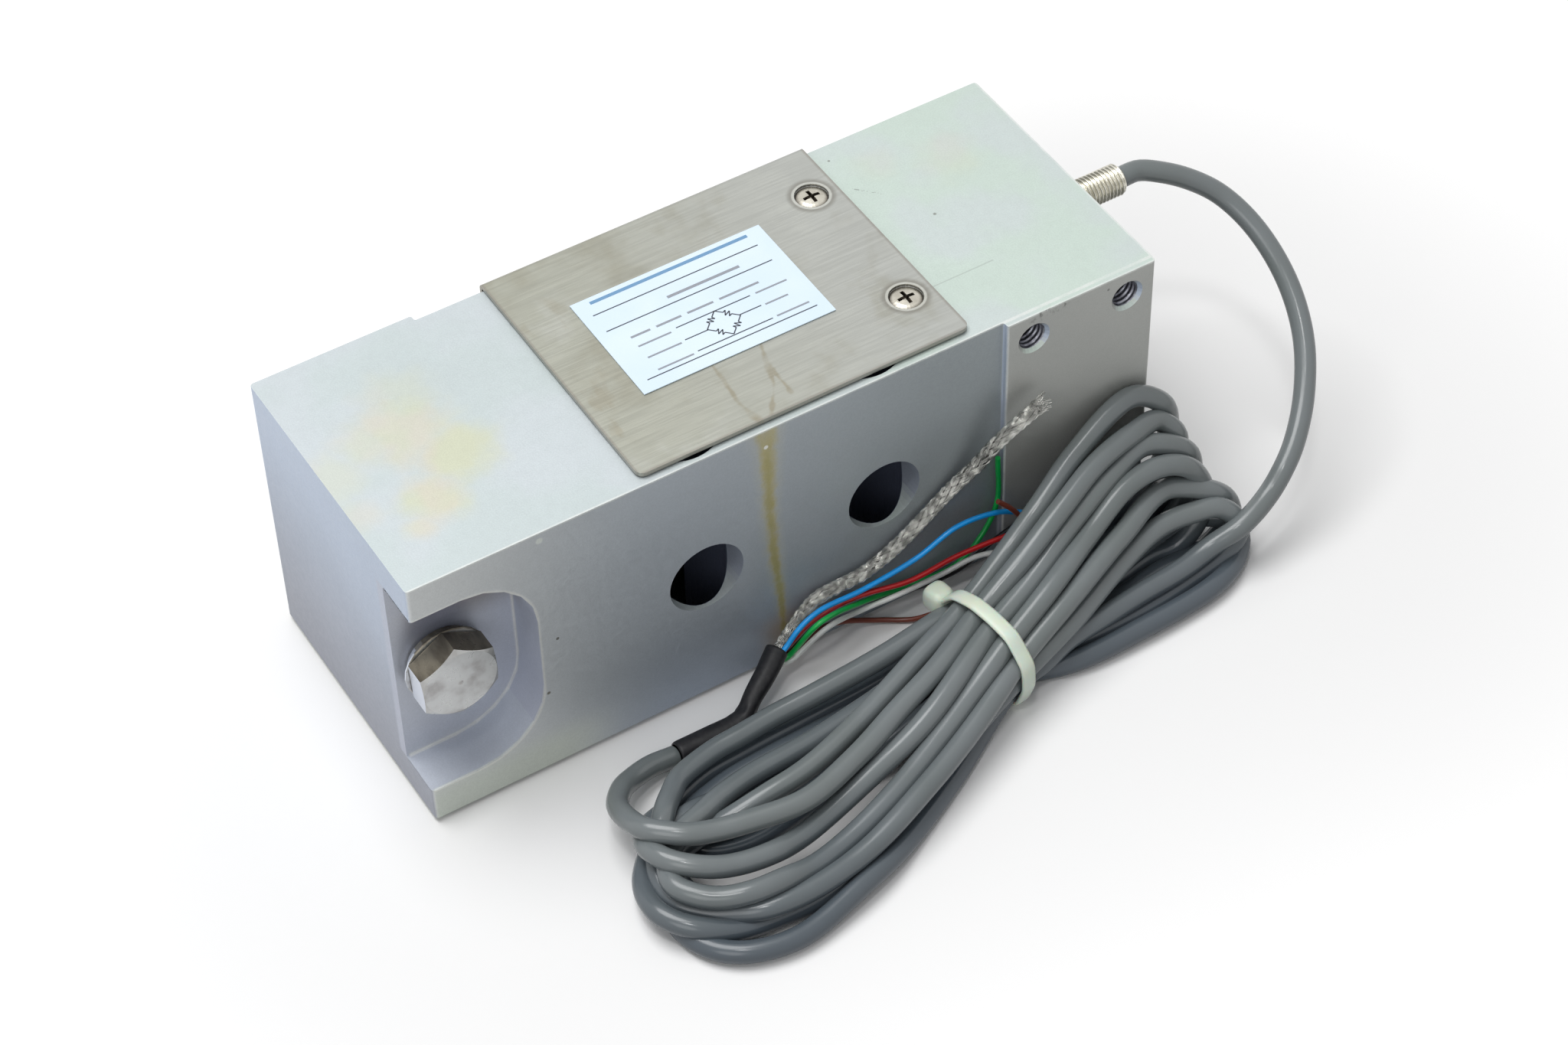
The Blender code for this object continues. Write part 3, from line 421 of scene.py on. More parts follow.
# Label print, in shares of the label's length and width from its upper left corner
PRINT_LIFT = 0.00002
PRINT_THICKNESS = 0.00003
RULE_WIDTH = 0.00028
BRIDGE_MIDDLE = (0.532, 0.700)
BRIDGE_REACH = (0.087, 0.130)
PRINT_RULES = [
    (0.057, 0.172, 0.926),
    (0.057, 0.352, 0.929),
    (0.332, 0.572, 0.721),
    (0.327, 0.704, 0.447),
    (0.619, 0.694, 0.731),
    (0.339, 0.841, 0.732),
    (0.057, 0.895, 0.944),
]
PRINT_BARS = [
    (0.40, 0.285, 0.78, 0.024),
    (0.130, 0.490, 0.230, 0.018),
    (0.262, 0.490, 0.392, 0.018),
    (0.424, 0.490, 0.560, 0.018),
    (0.592, 0.490, 0.800, 0.018),
    (0.130, 0.590, 0.300, 0.014),
    (0.750, 0.572, 0.915, 0.014),
    (0.130, 0.715, 0.305, 0.014),
    (0.750, 0.700, 0.870, 0.014),
    (0.130, 0.850, 0.315, 0.014),
    (0.755, 0.838, 0.925, 0.014),
]
PRINT_PANEL = (0.085, 0.055, 0.915, 0.028)

# Marks on the faces. The top face's stains are (x, y, reach) in millimetres and a strength, the cover's
# streaks a start, an end and a width, and the drip's middles and half widths go by height
TOP_STAINS = [
    (-72.5, 6.4, 13.0, 0.85),
    (-66.3, -5.0, 11.0, 1.0),
    (-77.5, -15.0, 9.0, 1.0),
    (-83.5, -21.0, 4.5, 0.8),
    (-62.5, -9.4, 5.0, 0.7),
    (-81.5, 7.4, 9.0, 0.6),
    (-93.0, 2.0, 9.0, 0.45),
    (-93.8, -11.0, 6.0, 0.45),
    (-70.0, 16.0, 10.0, 0.4),
    (75.0, 17.0, 9.0, 0.30),
    (60.0, 24.0, 6.0, 0.2),
]
TOP_PALE = (-82.5, -3.0, 5.0)
STAIN_STREAKS = [
    ((5.5, -13.2), (1.4, -25.8), 0.9),
    ((1.4, -25.8), (-4.0, -33.5), 0.8),
    ((-7.2, -14.0), (-8.2, -27.2), 0.8),
    ((-8.2, -27.2), (-7.2, -34.1), 1.2),
    ((3.2, -22.0), (3.2, -30.1), 0.8),
]
DRIP_MIDDLES = [(76.5, -6.9), (66.0, -6.6), (50.0, -6.7), (37.0, -6.0), (25.0, -4.8), (10.0, -3.9)]
DRIP_HALF_WIDTHS = [(76.5, 3.0), (70.0, 2.3), (60.0, 1.9), (40.0, 1.6), (20.0, 1.2), (5.0, 0.9)]


# Curves and meshes

def smooth_path(points, spacing):
    """Points at an even spacing along a centripetal Catmull-Rom curve, and their places among the knots."""
    knots = np.array(points, float)
    padded = np.vstack([2 * knots[0] - knots[1], knots, 2 * knots[-1] - knots[-2]])
    share = np.linspace(0.0, 1.0, CURVE_STEPS, endpoint=False)[:, None]
    fine = []
    for before, start, end, after in zip(padded, padded[1:], padded[2:], padded[3:]):
        spans = ((before, start), (start, end), (end, after))
        gaps = [max(np.linalg.norm(b - a), 1e-9) ** 0.5 for a, b in spans]
        first = (
            (start - before) / gaps[0] - (end - before) / (gaps[0] + gaps[1]) + (end - start) / gaps[1]
        ) * gaps[1]
        last = (
            (end - start) / gaps[1] - (after - start) / (gaps[1] + gaps[2]) + (after - end) / gaps[2]
        ) * gaps[1]
        fine.append(
            (2 * share**3 - 3 * share**2 + 1) * start
            + (share**3 - 2 * share**2 + share) * first
            + (3 * share**2 - 2 * share**3) * end
            + (share**3 - share**2) * last
        )
    fine = np.vstack([*fine, knots[-1:]])
    walked = np.r_[0.0, np.cumsum(np.linalg.norm(np.diff(fine, axis=0), axis=1))]
    count = max(2, round(walked[-1] / spacing))
    stops = np.linspace(0.0, walked[-1], count + 1)
    path = np.column_stack([np.interp(stops, walked, fine[:, axis]) for axis in range(3)])
    knot_place = np.interp(stops, walked, np.arange(len(fine)) / CURVE_STEPS)
    return path, knot_place


def path_frames(path):
    """Unit tangent, side and top at each point, carried along without twist."""
    tangents = np.gradient(path, axis=0)
    tangents /= np.linalg.norm(tangents, axis=1)[:, None]
    guide = np.array((0.0, 0.0, 1.0)) if abs(tangents[0][2]) < 0.9 else np.array((1.0, 0.0, 0.0))
    side = np.cross(guide, tangents[0])
    sides = []
    for tangent in tangents:
        side = side - tangent * (side @ tangent)
        side /= np.linalg.norm(side)
        sides.append(side)
    sides = np.array(sides)
    return tangents, sides, np.cross(tangents, sides)


def new_piece(name, data, material, body=ROOT):
    piece = bpy.data.objects.new(name, data)
    bpy.context.scene.collection.objects.link(piece)
    if material is not None:
        data.materials.append(material)
    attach(piece, body)
    return piece


def tube_curve(name, path, diameter, resolution):
    curve = bpy.data.curves.new(name, "CURVE")
    curve.dimensions = "3D"
    curve.bevel_depth = diameter / 2
    curve.bevel_resolution = resolution
    curve.use_fill_caps = True
    spline = curve.splines.new("POLY")
    spline.points.add(len(path) - 1)
    for point, place in zip(spline.points, path):
        point.co = (*place, 1.0)
    spline.use_smooth = True
    return curve


def grid_mesh(name, rings, close_around=True, cap_ends=False):
    """Mesh through equal rings of points, joined ring to ring."""
    mesh = bpy.data.meshes.new(name)
    rows, columns = len(rings), len(rings[0])
    vertices = [tuple(point) for ring in rings for point in ring]
    faces = []
    around = columns if close_around else columns - 1
    for row in range(rows - 1):
        for column in range(around):
            following = (column + 1) % columns
            faces.append((
                row * columns + column,
                row * columns + following,
                (row + 1) * columns + following,
                (row + 1) * columns + column,
            ))
    if cap_ends:
        faces.append(tuple(reversed(range(columns))))
        faces.append(tuple((rows - 1) * columns + column for column in range(columns)))
    mesh.from_pydata(vertices, [], faces)
    work = bmesh.new()
    work.from_mesh(mesh)
    bmesh.ops.recalc_face_normals(work, faces=work.faces)
    work.to_mesh(mesh)
    work.free()
    mesh.shade_smooth()
    return mesh


# Finishes

class Finish:
    """One material, whose graph is written as arithmetic on places in the model, in metres."""

    def __init__(self, name, colour=(0.5, 0.5, 0.5), roughness=0.5, metallic=0.0):
        self.material = bpy.data.materials.new(name)
        self.material.use_nodes = True
        self.tree = self.material.node_tree
        self.shader = self.tree.nodes["Principled BSDF"]
        self.set("Base Color", (*colour, 1.0))
        self.set("Roughness", roughness)
        self.set("Metallic", metallic)

    def set(self, name, value):
        self.shader.inputs[name].default_value = value

    def drive(self, name, socket):
        self.tree.links.new(socket, self.shader.inputs[name])

    def add(self, kind, **settings):
        node = self.tree.nodes.new(kind)
        for name, value in settings.items():
            setattr(node, name, value)
        return node

    def feed(self, socket, value):
        if isinstance(value, bpy.types.NodeSocket):
            self.tree.links.new(value, socket)
        else:
            socket.default_value = value

    def places(self):
        """The three coordinates of a place in the model."""
        self.place = self.add("ShaderNodeTexCoord").outputs["Object"]
        split = self.add("ShaderNodeSeparateXYZ")
        self.feed(split.inputs[0], self.place)
        return split.outputs

    def facing(self):
        """The three parts of the surface's own direction."""
        split = self.add("ShaderNodeSeparateXYZ")
        self.normal = self.add("ShaderNodeNewGeometry").outputs["Normal"]
        self.feed(split.inputs[0], self.normal)
        return split.outputs

    def calc(self, operation, *values):
        node = self.add("ShaderNodeMath", operation=operation)
        for socket, value in zip(node.inputs, values):
            self.feed(socket, value)
        return node.outputs[0]

    def plus(self, *values):
        total = values[0]
        for value in values[1:]:
            total = self.calc("ADD", total, value)
        return total

    def times(self, *values):
        total = values[0]
        for value in values[1:]:
            total = self.calc("MULTIPLY", total, value)
        return total

    def minus(self, first, second):
        return self.calc("SUBTRACT", first, second)

    def gap(self, first, second):
        return self.calc("ABSOLUTE", self.minus(first, second))

    def most(self, *values):
        total = values[0]
        for value in values[1:]:
            total = self.calc("MAXIMUM", total, value)
        return total

    def ramp(self, value, low, high, to_low=0.0, to_high=1.0):
        node = self.add("ShaderNodeMapRange", interpolation_type="SMOOTHSTEP")
        for name, given in (("From Min", low), ("From Max", high), ("To Min", to_low), ("To Max", to_high)):
            node.inputs[name].default_value = given
        self.feed(node.inputs["Value"], value)
        return node.outputs["Result"]

    def reach(self, first, first_place, second, second_place):
        """Distance from a line of places that runs along the third axis."""
        across = self.minus(first, first_place)
        up = self.minus(second, second_place)
        return self.calc("SQRT", self.plus(self.times(across, across), self.times(up, up)))

    def segment(self, first, second, start, end):
        """Distance from a straight stroke between two places."""
        run = (end[0] - start[0], end[1] - start[1])
        length = run[0] ** 2 + run[1] ** 2
        from_first = self.minus(first, start[0])
        from_second = self.minus(second, start[1])
        share = self.plus(self.times(from_first, run[0] / length), self.times(from_second, run[1] / length))
        share = self.calc("MINIMUM", self.most(share, 0.0), 1.0)
        across = self.minus(from_first, self.times(share, run[0]))
        up = self.minus(from_second, self.times(share, run[1]))
        return self.calc("SQRT", self.plus(self.times(across, across), self.times(up, up)))

    def along_table(self, value, table):
        """Straight-line reading of a short table of places and values."""
        table = sorted(table)
        reading = table[0][1]
        for (low, low_value), (high, high_value) in zip(table, table[1:]):
            slope = (high_value - low_value) / (high - low)
            step = self.calc("MINIMUM", self.most(self.minus(value, low), 0.0), high - low)
            reading = self.plus(self.times(step, slope), reading)
        return reading

    def noise(self, scale, detail=3.0, stretch=(1.0, 1.0, 1.0), roughness=0.5):
        mapping = self.add("ShaderNodeMapping")
        mapping.inputs["Scale"].default_value = stretch
        self.feed(mapping.inputs["Vector"], self.place)
        node = self.add("ShaderNodeTexNoise")
        node.inputs["Scale"].default_value = scale
        node.inputs["Detail"].default_value = detail
        node.inputs["Roughness"].default_value = roughness
        self.feed(node.inputs["Vector"], mapping.outputs[0])
        return node.outputs["Fac"]

    def blend(self, share, first, second, kind="MIX"):
        node = self.add("ShaderNodeMix", data_type="RGBA", blend_type=kind)
        self.feed(node.inputs[0], share)
        for socket, value in ((node.inputs[6], first), (node.inputs[7], second)):
            self.feed(socket, value if isinstance(value, bpy.types.NodeSocket) else (*value, 1.0))
        return node.outputs[2]

    def shade(self, colour, amount):
        """The colour made lighter or darker by a factor that varies over the surface."""
        node = self.add("ShaderNodeVectorMath", operation="SCALE")
        self.feed(node.inputs[0], colour)
        self.feed(node.inputs["Scale"], amount)
        return node.outputs[0]

    def bump(self, height, distance, strength=1.0, normal=None):
        node = self.add("ShaderNodeBump")
        node.inputs["Strength"].default_value = strength
        node.inputs["Distance"].default_value = distance
        self.feed(node.inputs["Height"], height)
        if normal is not None:
            self.feed(node.inputs["Normal"], normal)
        self.drive("Normal", node.outputs[0])


def beam_finish():
    """Satin aluminium: a painted shade for each face, its stains and marks, painted shade and highlights in
    its stop pocket and along its edges, and a dark colour inside the bores.
    """
    finish = Finish("beam_satin", roughness=0.46, metallic=0.38)
    x, y, z = finish.places()
    facing_x, facing_y, facing_z = finish.facing()
    coarse = finish.noise(38.0, 3.0)
    wander = finish.noise(160.0, 3.0)
    grain = finish.noise(2600.0, 2.0)

    # Painted shade for each face: the front lighter towards the left end and darker towards the right and
    # the bottom, with a greenish tone low near the left end, and the pad lighter than the front beside it;
    # the left end darker towards the bottom; the top a painted tone of its own.
    front = finish.blend(finish.ramp(x, -0.095, -0.030), (0.60, 0.62, 0.62), (0.43, 0.47, 0.51))
    front = finish.blend(finish.ramp(x, -0.030, 0.050), front, (0.31, 0.345, 0.36))
    front = finish.blend(finish.ramp(x, 0.0548, 0.0552), front, (0.42, 0.43, 0.41))
    low = finish.times(finish.ramp(z, 0.034, 0.002), finish.ramp(x, -0.060, -0.030))
    front = finish.blend(low, front, (0.80, 0.84, 0.92), "MULTIPLY")
    front = finish.blend(
        finish.times(finish.ramp(z, 0.016, 0.006), finish.ramp(x, -0.045, -0.065)),
        front,
        (0.56, 0.60, 0.55),
    )
    left = finish.blend(finish.ramp(z, 0.075, 0.0), (0.495, 0.57, 0.69), (0.325, 0.34, 0.39))
    top = finish.blend(finish.ramp(x, -0.02, 0.06), (0.505, 0.565, 0.57), (0.535, 0.625, 0.57))
    top = finish.blend(finish.times(finish.ramp(coarse, 0.45, 0.62), 0.45), top, (0.53, 0.56, 0.60))
    colour = finish.blend(finish.ramp(facing_x, -0.4, -0.8), front, left)

    # Iridescent stains on the top face
    stain = 0.0
    for place_x, place_y, spread, strength in TOP_STAINS:
        distance = finish.reach(x, place_x * MM, y, place_y * MM)
        ragged = finish.plus(distance, finish.times(finish.minus(wander, 0.5), spread * MM * 1.0))
        blob = finish.ramp(ragged, spread * MM * 1.25, spread * MM * 0.3, 0.0, strength)
        stain = finish.most(stain, blob)
    gap = finish.reach(x, TOP_PALE[0] * MM, y, TOP_PALE[1] * MM)
    stain = finish.times(stain, finish.ramp(gap, 0.2 * TOP_PALE[2] * MM, TOP_PALE[2] * MM, 0.35, 1.0))
    hue = finish.blend(
        finish.ramp(finish.noise(75.0, 2.0), 0.38, 0.62), (0.565, 0.575, 0.40), (0.595, 0.545, 0.43)
    )
    stained = finish.blend(finish.times(stain, 0.75), top, hue)
    colour = finish.blend(finish.ramp(facing_z, 0.4, 0.8), colour, stained)

    # Drip down the front face, with a small pale dot near its head
    front_only = finish.ramp(facing_y, -0.4, -0.8)
    middle = finish.along_table(z, [(height * MM, place * MM) for height, place in DRIP_MIDDLES])
    half = finish.along_table(z, [(height * MM, width * MM) for height, width in DRIP_HALF_WIDTHS])
    off = finish.gap(x, middle)
    off = finish.plus(off, finish.times(finish.minus(finish.noise(420.0, 3.0), 0.5), 0.0022))
    share = finish.calc("DIVIDE", off, half)
    drip = finish.times(finish.ramp(share, 1.35, 0.35), front_only)
    core = finish.times(finish.ramp(share, 0.8, 0.0, 0.0, 0.7), finish.ramp(z, 0.074, 0.066))
    halo = finish.times(finish.ramp(share, 2.4, 0.7, 0.0, 0.25), front_only)
    foot = finish.times(finish.ramp(off, 0.0080, 0.0015, 0.0, 0.55), finish.ramp(z, 0.018, 0.011))
    patchy = finish.ramp(finish.noise(300.0, 3.0, (1.0, 1.0, 0.35)), 0.3, 0.7, 0.55, 0.9)
    colour = finish.blend(halo, colour, (0.60, 0.58, 0.42))
    colour = finish.blend(finish.times(foot, front_only), colour, (0.50, 0.42, 0.31))
    colour = finish.blend(finish.times(drip, patchy), colour, (0.48, 0.43, 0.22))
    colour = finish.blend(finish.times(drip, core), colour, (0.40, 0.36, 0.15))
    dot = finish.ramp(finish.reach(x, -0.0071, z, 0.0713), 0.0007, 0.0004)
    colour = finish.blend(finish.times(dot, front_only), colour, (0.85, 0.85, 0.80))

    # Stop pocket: a painted bluish shade inside it, a painted brownish shade under its lip, a painted dark
    # bluish shade above the bolt, and painted highlights along its two rims
    beyond_x = finish.most(finish.minus(x, POCKET_ROUND_X), 0.0)
    beyond_z = finish.minus(finish.gap(z, MID_HEIGHT), POCKET_FLAT_HALF)
    beyond_z = finish.most(beyond_z, 0.0)
    from_rim = finish.calc(
        "SQRT", finish.plus(finish.times(beyond_x, beyond_x), finish.times(beyond_z, beyond_z))
    )
    from_rim = finish.minus(from_rim, POCKET_RADIUS)
    inside = finish.times(finish.ramp(from_rim, 0.0006, 0.0), finish.ramp(y, -0.0358, -0.0350))
    left_part = finish.ramp(x, -0.050, -0.060)
    pocket = finish.times(inside, left_part, finish.ramp(y, -0.0200, -0.0215))
    # Painted bluish shade inside the pocket
    colour = finish.blend(finish.times(pocket, 0.75), colour, (0.50, 0.53, 0.62))
    # Painted brownish shade under the lip
    lip_shade = finish.times(
        pocket,
        finish.ramp(x, -0.0930, -0.0880),
        finish.ramp(z, 0.0440, 0.0535),
        finish.ramp(y, -0.0300, -0.0250),
    )
    colour = finish.blend(finish.times(lip_shade, 0.75), colour, (0.23, 0.20, 0.19))
    # Painted dark bluish shade above the bolt
    blue = finish.ramp(finish.reach(x, -0.0845, z, 0.0495), 0.0110, 0.0030, 0.0, 0.55)
    colour = finish.blend(finish.times(pocket, blue), colour, (0.22, 0.25, 0.36))
    near_rim = finish.calc("ABSOLUTE", from_rim)
    # Painted highlights along the two rims
    rim_highlight = finish.times(finish.ramp(near_rim, 0.0007, 0.0001), left_part, finish.ramp(x, -0.0950, -0.0944))
    rim_highlight = finish.times(rim_highlight, finish.most(finish.ramp(y, -0.0353, -0.0357), finish.ramp(y, -0.0246, -0.0242)))
    colour = finish.blend(
        finish.times(rim_highlight, 0.55, finish.ramp(y, -0.0228, -0.0234)), colour, (0.80, 0.80, 0.76)
    )

    # Painted highlights along the edges
    edge_width = (0.00060, 0.00025)
    edges = [
        finish.ramp(finish.reach(y, FRONT_FACE, z, BEAM_HIGH.z), *edge_width),
        finish.ramp(finish.reach(y, PAD_FRONT, z, BEAM_HIGH.z), *edge_width),
        finish.ramp(finish.reach(x, BEAM_LOW.x, y, FRONT_FACE), *edge_width),
        finish.ramp(finish.reach(x, BEAM_HIGH.x, z, BEAM_HIGH.z), *edge_width),
        finish.ramp(finish.reach(x, PAD_START, y, PAD_FRONT), *edge_width),
        finish.ramp(finish.reach(x, BEAM_HIGH.x, y, PAD_FRONT), *edge_width),
    ]
    edge_highlight = finish.times(finish.most(*edges), finish.ramp(wander, 0.30, 0.55, 0.3, 0.65))
    colour = finish.blend(edge_highlight, colour, (0.72, 0.74, 0.72))

    # Specks, a dotted scratch and a faint long scratch on the top face
    top_only = finish.ramp(facing_z, 0.4, 0.8)
    for place_x, place_y, size in ((0.0618, 0.0024, 0.00055), (0.0511, 0.0310, 0.00045)):
        speck = finish.ramp(finish.reach(x, place_x, y, place_y), size, size * 0.4, 0.0, 0.7)
        colour = finish.blend(finish.times(speck, top_only), colour, (0.16, 0.16, 0.14))
    scratch = finish.ramp(
        finish.segment(x, y, (0.0500, 0.0204), (0.0556, 0.0145)), 0.00030, 0.00008, 0.0, 0.6
    )
    scratch = finish.times(scratch, finish.ramp(finish.noise(1900.0, 2.0), 0.48, 0.56))
    faint = finish.ramp(
        finish.segment(x, y, (0.0395, -0.0177), (0.0643, -0.0177)), 0.00028, 0.00006, 0.0, 0.30
    )
    colour = finish.blend(finish.times(finish.most(scratch, faint), top_only), colour, (0.22, 0.23, 0.22))

    # Dark smudge on the pad's upper edge, and small specks
    smudge = finish.segment(x, z, (0.0625, 0.0752), (0.0700, 0.0762))
    smudge = finish.ramp(smudge, 0.0022, 0.0004)
    smudge = finish.times(
        smudge, finish.ramp(finish.noise(900.0, 3.0, (1.0, 1.0, 0.6)), 0.50, 0.66), front_only
    )
    colour = finish.blend(finish.times(smudge, 0.75), colour, (0.10, 0.10, 0.09))
    for place_x, place_z, size, shade in (
        (-0.0613, 0.0416, 0.00055, (0.10, 0.09, 0.07)),
        (-0.0647, 0.0255, 0.00060, (0.12, 0.10, 0.07)),
        (0.0823, 0.0739, 0.00045, (0.16, 0.16, 0.15)),
        (-0.0634, 0.0741, 0.00110, (0.70, 0.74, 0.70)),
    ):
        speck = finish.ramp(finish.reach(x, place_x, z, place_z), size, size * 0.5)
        colour = finish.blend(finish.times(speck, front_only, 0.85), colour, shade)

    # Flexure bores and window, coloured dark and not metallic
    side = finish.calc("ABSOLUTE", x)
    depth = finish.calc("ABSOLUTE", y)
    in_bore = finish.ramp(finish.reach(side, BORE_MIDDLE[0], depth, BORE_MIDDLE[1]), 0.01012, 0.01004)
    in_window = finish.times(finish.ramp(side, 0.0240, 0.0236), finish.ramp(depth, 0.0168, 0.0164))
    dark_inside = finish.times(finish.most(in_bore, in_window), finish.ramp(z, 0.0764, 0.0758))
    colour = finish.blend(dark_inside, colour, (0.10, 0.115, 0.17))
    finish.drive("Metallic", finish.ramp(dark_inside, 0.0, 1.0, 0.38, 0.0))

    colour = finish.shade(colour, finish.ramp(grain, 0.2, 0.8, 0.955, 1.045))
    colour = finish.shade(colour, finish.ramp(coarse, 0.3, 0.7, 0.975, 1.02))
    finish.drive("Base Color", colour)
    finish.drive("Roughness", finish.ramp(finish.noise(700.0, 2.0), 0.3, 0.7, 0.43, 0.51))
    # The pocket's curved wall shades round
    wall = finish.times(finish.ramp(near_rim, 0.0008, 0.0005), left_part, finish.ramp(y, -0.0356, -0.0354))
    wall = finish.times(
        wall, finish.ramp(y, -0.0240, -0.0243), finish.ramp(finish.calc("ABSOLUTE", facing_y), 0.5, 0.3)
    )
    upward = finish.calc("SIGN", finish.minus(z, MID_HEIGHT))
    toward = finish.add("ShaderNodeCombineXYZ")
    finish.feed(toward.inputs[0], finish.times(beyond_x, -1.0))
    finish.feed(toward.inputs[2], finish.times(beyond_z, upward, -1.0))
    toward_unit = finish.add("ShaderNodeVectorMath", operation="NORMALIZE")
    finish.feed(toward_unit.inputs[0], toward.outputs[0])
    smooth = finish.add("ShaderNodeMix", data_type="VECTOR")
    finish.feed(smooth.inputs[0], wall)
    finish.feed(smooth.inputs[4], finish.normal)
    finish.feed(smooth.inputs[5], toward_unit.outputs[0])
    finish.bump(grain, 0.00004, 0.5, smooth.outputs[1])
    return finish.material


def cover_finish():
    """Brushed stainless sheet with handling stains, dried runs, a painted dimple of shade and highlight
    round each screw, and painted shade along its edges.
    """
    finish = Finish("cover_brushed", roughness=0.36, metallic=0.7)
    x, y, z = finish.places()
    brushed = finish.noise(90.0, 4.0, (1.0, 26.0, 26.0))
    cloud = finish.noise(55.0, 4.0, (1.0, 0.8, 1.0), 0.6)
    on_top = finish.ramp(z, COVER_HIGH.z - 0.0030, COVER_HIGH.z - 0.0008)
    fine = finish.noise(240.0, 4.0)
    colour = finish.blend(finish.ramp(x, -0.036, 0.046), (0.375, 0.38, 0.325), (0.42, 0.43, 0.405))
    dull = finish.times(finish.ramp(cloud, 0.48, 0.72, 0.0, 0.6), on_top)
    pale = finish.times(finish.ramp(cloud, 0.46, 0.28, 0.0, 0.5), on_top)
    colour = finish.blend(dull, colour, (0.30, 0.29, 0.23))
    colour = finish.blend(pale, colour, (0.46, 0.47, 0.435))
    colour = finish.shade(colour, finish.ramp(brushed, 0.25, 0.75, 0.975, 1.025))

    smears = 0.0
    bend = finish.times(finish.minus(finish.noise(200.0, 2.0), 0.5), 0.0025)
    for start, end, width in STAIN_STREAKS:
        start = (start[0] * MM, start[1] * MM)
        end = (end[0] * MM, end[1] * MM)
        distance = finish.plus(finish.segment(x, y, start, end), bend)
        smears = finish.most(smears, finish.ramp(distance, width * MM, 0.0001, 0.0, 0.6))
    colour = finish.blend(
        finish.times(smears, finish.ramp(fine, 0.3, 0.6, 0.3, 1.0)), colour, (0.27, 0.235, 0.16)
    )

    rub = finish.ramp(finish.noise(130.0, 4.0, (1.0, 0.45, 1.0)), 0.60, 0.70)
    rub = finish.times(rub, finish.ramp(finish.gap(x, -0.036), 0.022, 0.0))
    colour = finish.blend(finish.times(rub, 0.4), colour, (0.29, 0.255, 0.18))
    # Round each screw a painted dimple: a ring of painted shade, a ring of painted highlight inside it, and
    # a thin dark line at the head's edge.
    for middle_y in COVER_SCREWS_Y:
        ring = finish.reach(x, COVER_SCREWS_X, y, middle_y)
        dark = finish.times(finish.ramp(ring, 0.0045, 0.0049), finish.ramp(ring, 0.0063, 0.0049))
        colour = finish.blend(finish.times(dark, 0.55), colour, (0.17, 0.155, 0.13))
        bright = finish.times(finish.ramp(ring, 0.0040, 0.0042), finish.ramp(ring, 0.0048, 0.0045))
        colour = finish.blend(finish.times(bright, 0.6), colour, (0.58, 0.58, 0.53))
        colour = finish.blend(
            finish.times(finish.ramp(ring, 0.0041, 0.0039), 0.8), colour, (0.08, 0.07, 0.06)
        )
    # Dark lines along the sheet's edges: painted shade, and the burr of the cut.
    edge_shade_and_burr = finish.most(
        finish.ramp(x, COVER_HIGH.x - 0.0009, COVER_HIGH.x - 0.0002),
        finish.ramp(y, COVER_LOW.y + 0.0009, COVER_LOW.y + 0.0002),
        finish.ramp(x, COVER_LOW.x + 0.0007, COVER_LOW.x + 0.0002),
    )
    colour = finish.blend(finish.times(edge_shade_and_burr, 0.6), colour, (0.26, 0.24, 0.21))
    finish.drive("Base Color", colour)
    finish.drive("Roughness", finish.ramp(brushed, 0.3, 0.7, 0.31, 0.42))
    finish.bump(brushed, 0.00004, 0.35)
    return finish.material


def screw_finish():
    finish = Finish("screw_nickel", roughness=0.27, metallic=0.9)
    z = finish.places()[2]
    level = finish.gap(z, MID_HEIGHT)
    colour = finish.blend(
        finish.ramp(finish.noise(420.0), 0.35, 0.65), (0.61, 0.585, 0.51), (0.49, 0.465, 0.40)
    )
    colour = finish.blend(finish.ramp(level, 0.03865, 0.03835), colour, (0.10, 0.085, 0.07))
    finish.drive("Base Color", colour)
    return finish.material


def bolt_finish():
    """Dull zinc steel: the hexagon's flats are tarnished brown, with a painted reflection making those that
    face left and down paler, its face is smudged.
    """
    finish = Finish("stop_zinc", roughness=0.32, metallic=0.65)
    x, _, z = finish.places()
    facing_x, facing_y, facing_z = finish.facing()
    tarnish = finish.noise(220.0, 4.0, (1.0, 0.4, 1.0))
    flats = finish.blend(finish.ramp(tarnish, 0.35, 0.65), (0.07, 0.06, 0.045), (0.20, 0.18, 0.14))
    # Painted reflection: flats that face left and down are paler
    flats = finish.blend(finish.ramp(facing_x, -0.55, -0.85), flats, (0.66, 0.70, 0.78))
    flats = finish.blend(finish.ramp(facing_z, -0.1, -0.5), flats, (0.55, 0.54, 0.52))
    smudges = finish.noise(170.0, 4.0)
    face = finish.blend(finish.ramp(smudges, 0.42, 0.68), (0.62, 0.63, 0.63), (0.42, 0.41, 0.41))
    dot = finish.ramp(finish.reach(x, BOLT_DOT[0], z, BOLT_DOT[1]), 0.0009, 0.0002, 0.0, 0.6)
    face = finish.blend(dot, face, (0.28, 0.25, 0.24))
    colour = finish.blend(finish.ramp(facing_y, -0.75, -0.95), flats, face)
    finish.drive("Base Color", colour)
    finish.drive("Roughness", finish.ramp(smudges, 0.3, 0.7, 0.26, 0.38))
    finish.bump(finish.noise(1500.0, 2.0), 0.00003, 0.5)
    return finish.material


def speckled(name, scale, first, second, roughness, metallic=0.0, detail=3.0):
    """A finish whose colour wanders between two tones."""
    finish = Finish(name, roughness=roughness, metallic=metallic)
    finish.places()
    share = finish.ramp(finish.noise(scale, detail), 0.35, 0.65)
    finish.drive("Base Color", finish.blend(share, first, second))
    return finish


def nickel_finish():
    return speckled("gland_bright", 500.0, (0.72, 0.70, 0.62), (0.58, 0.56, 0.48), 0.24, 0.95).material


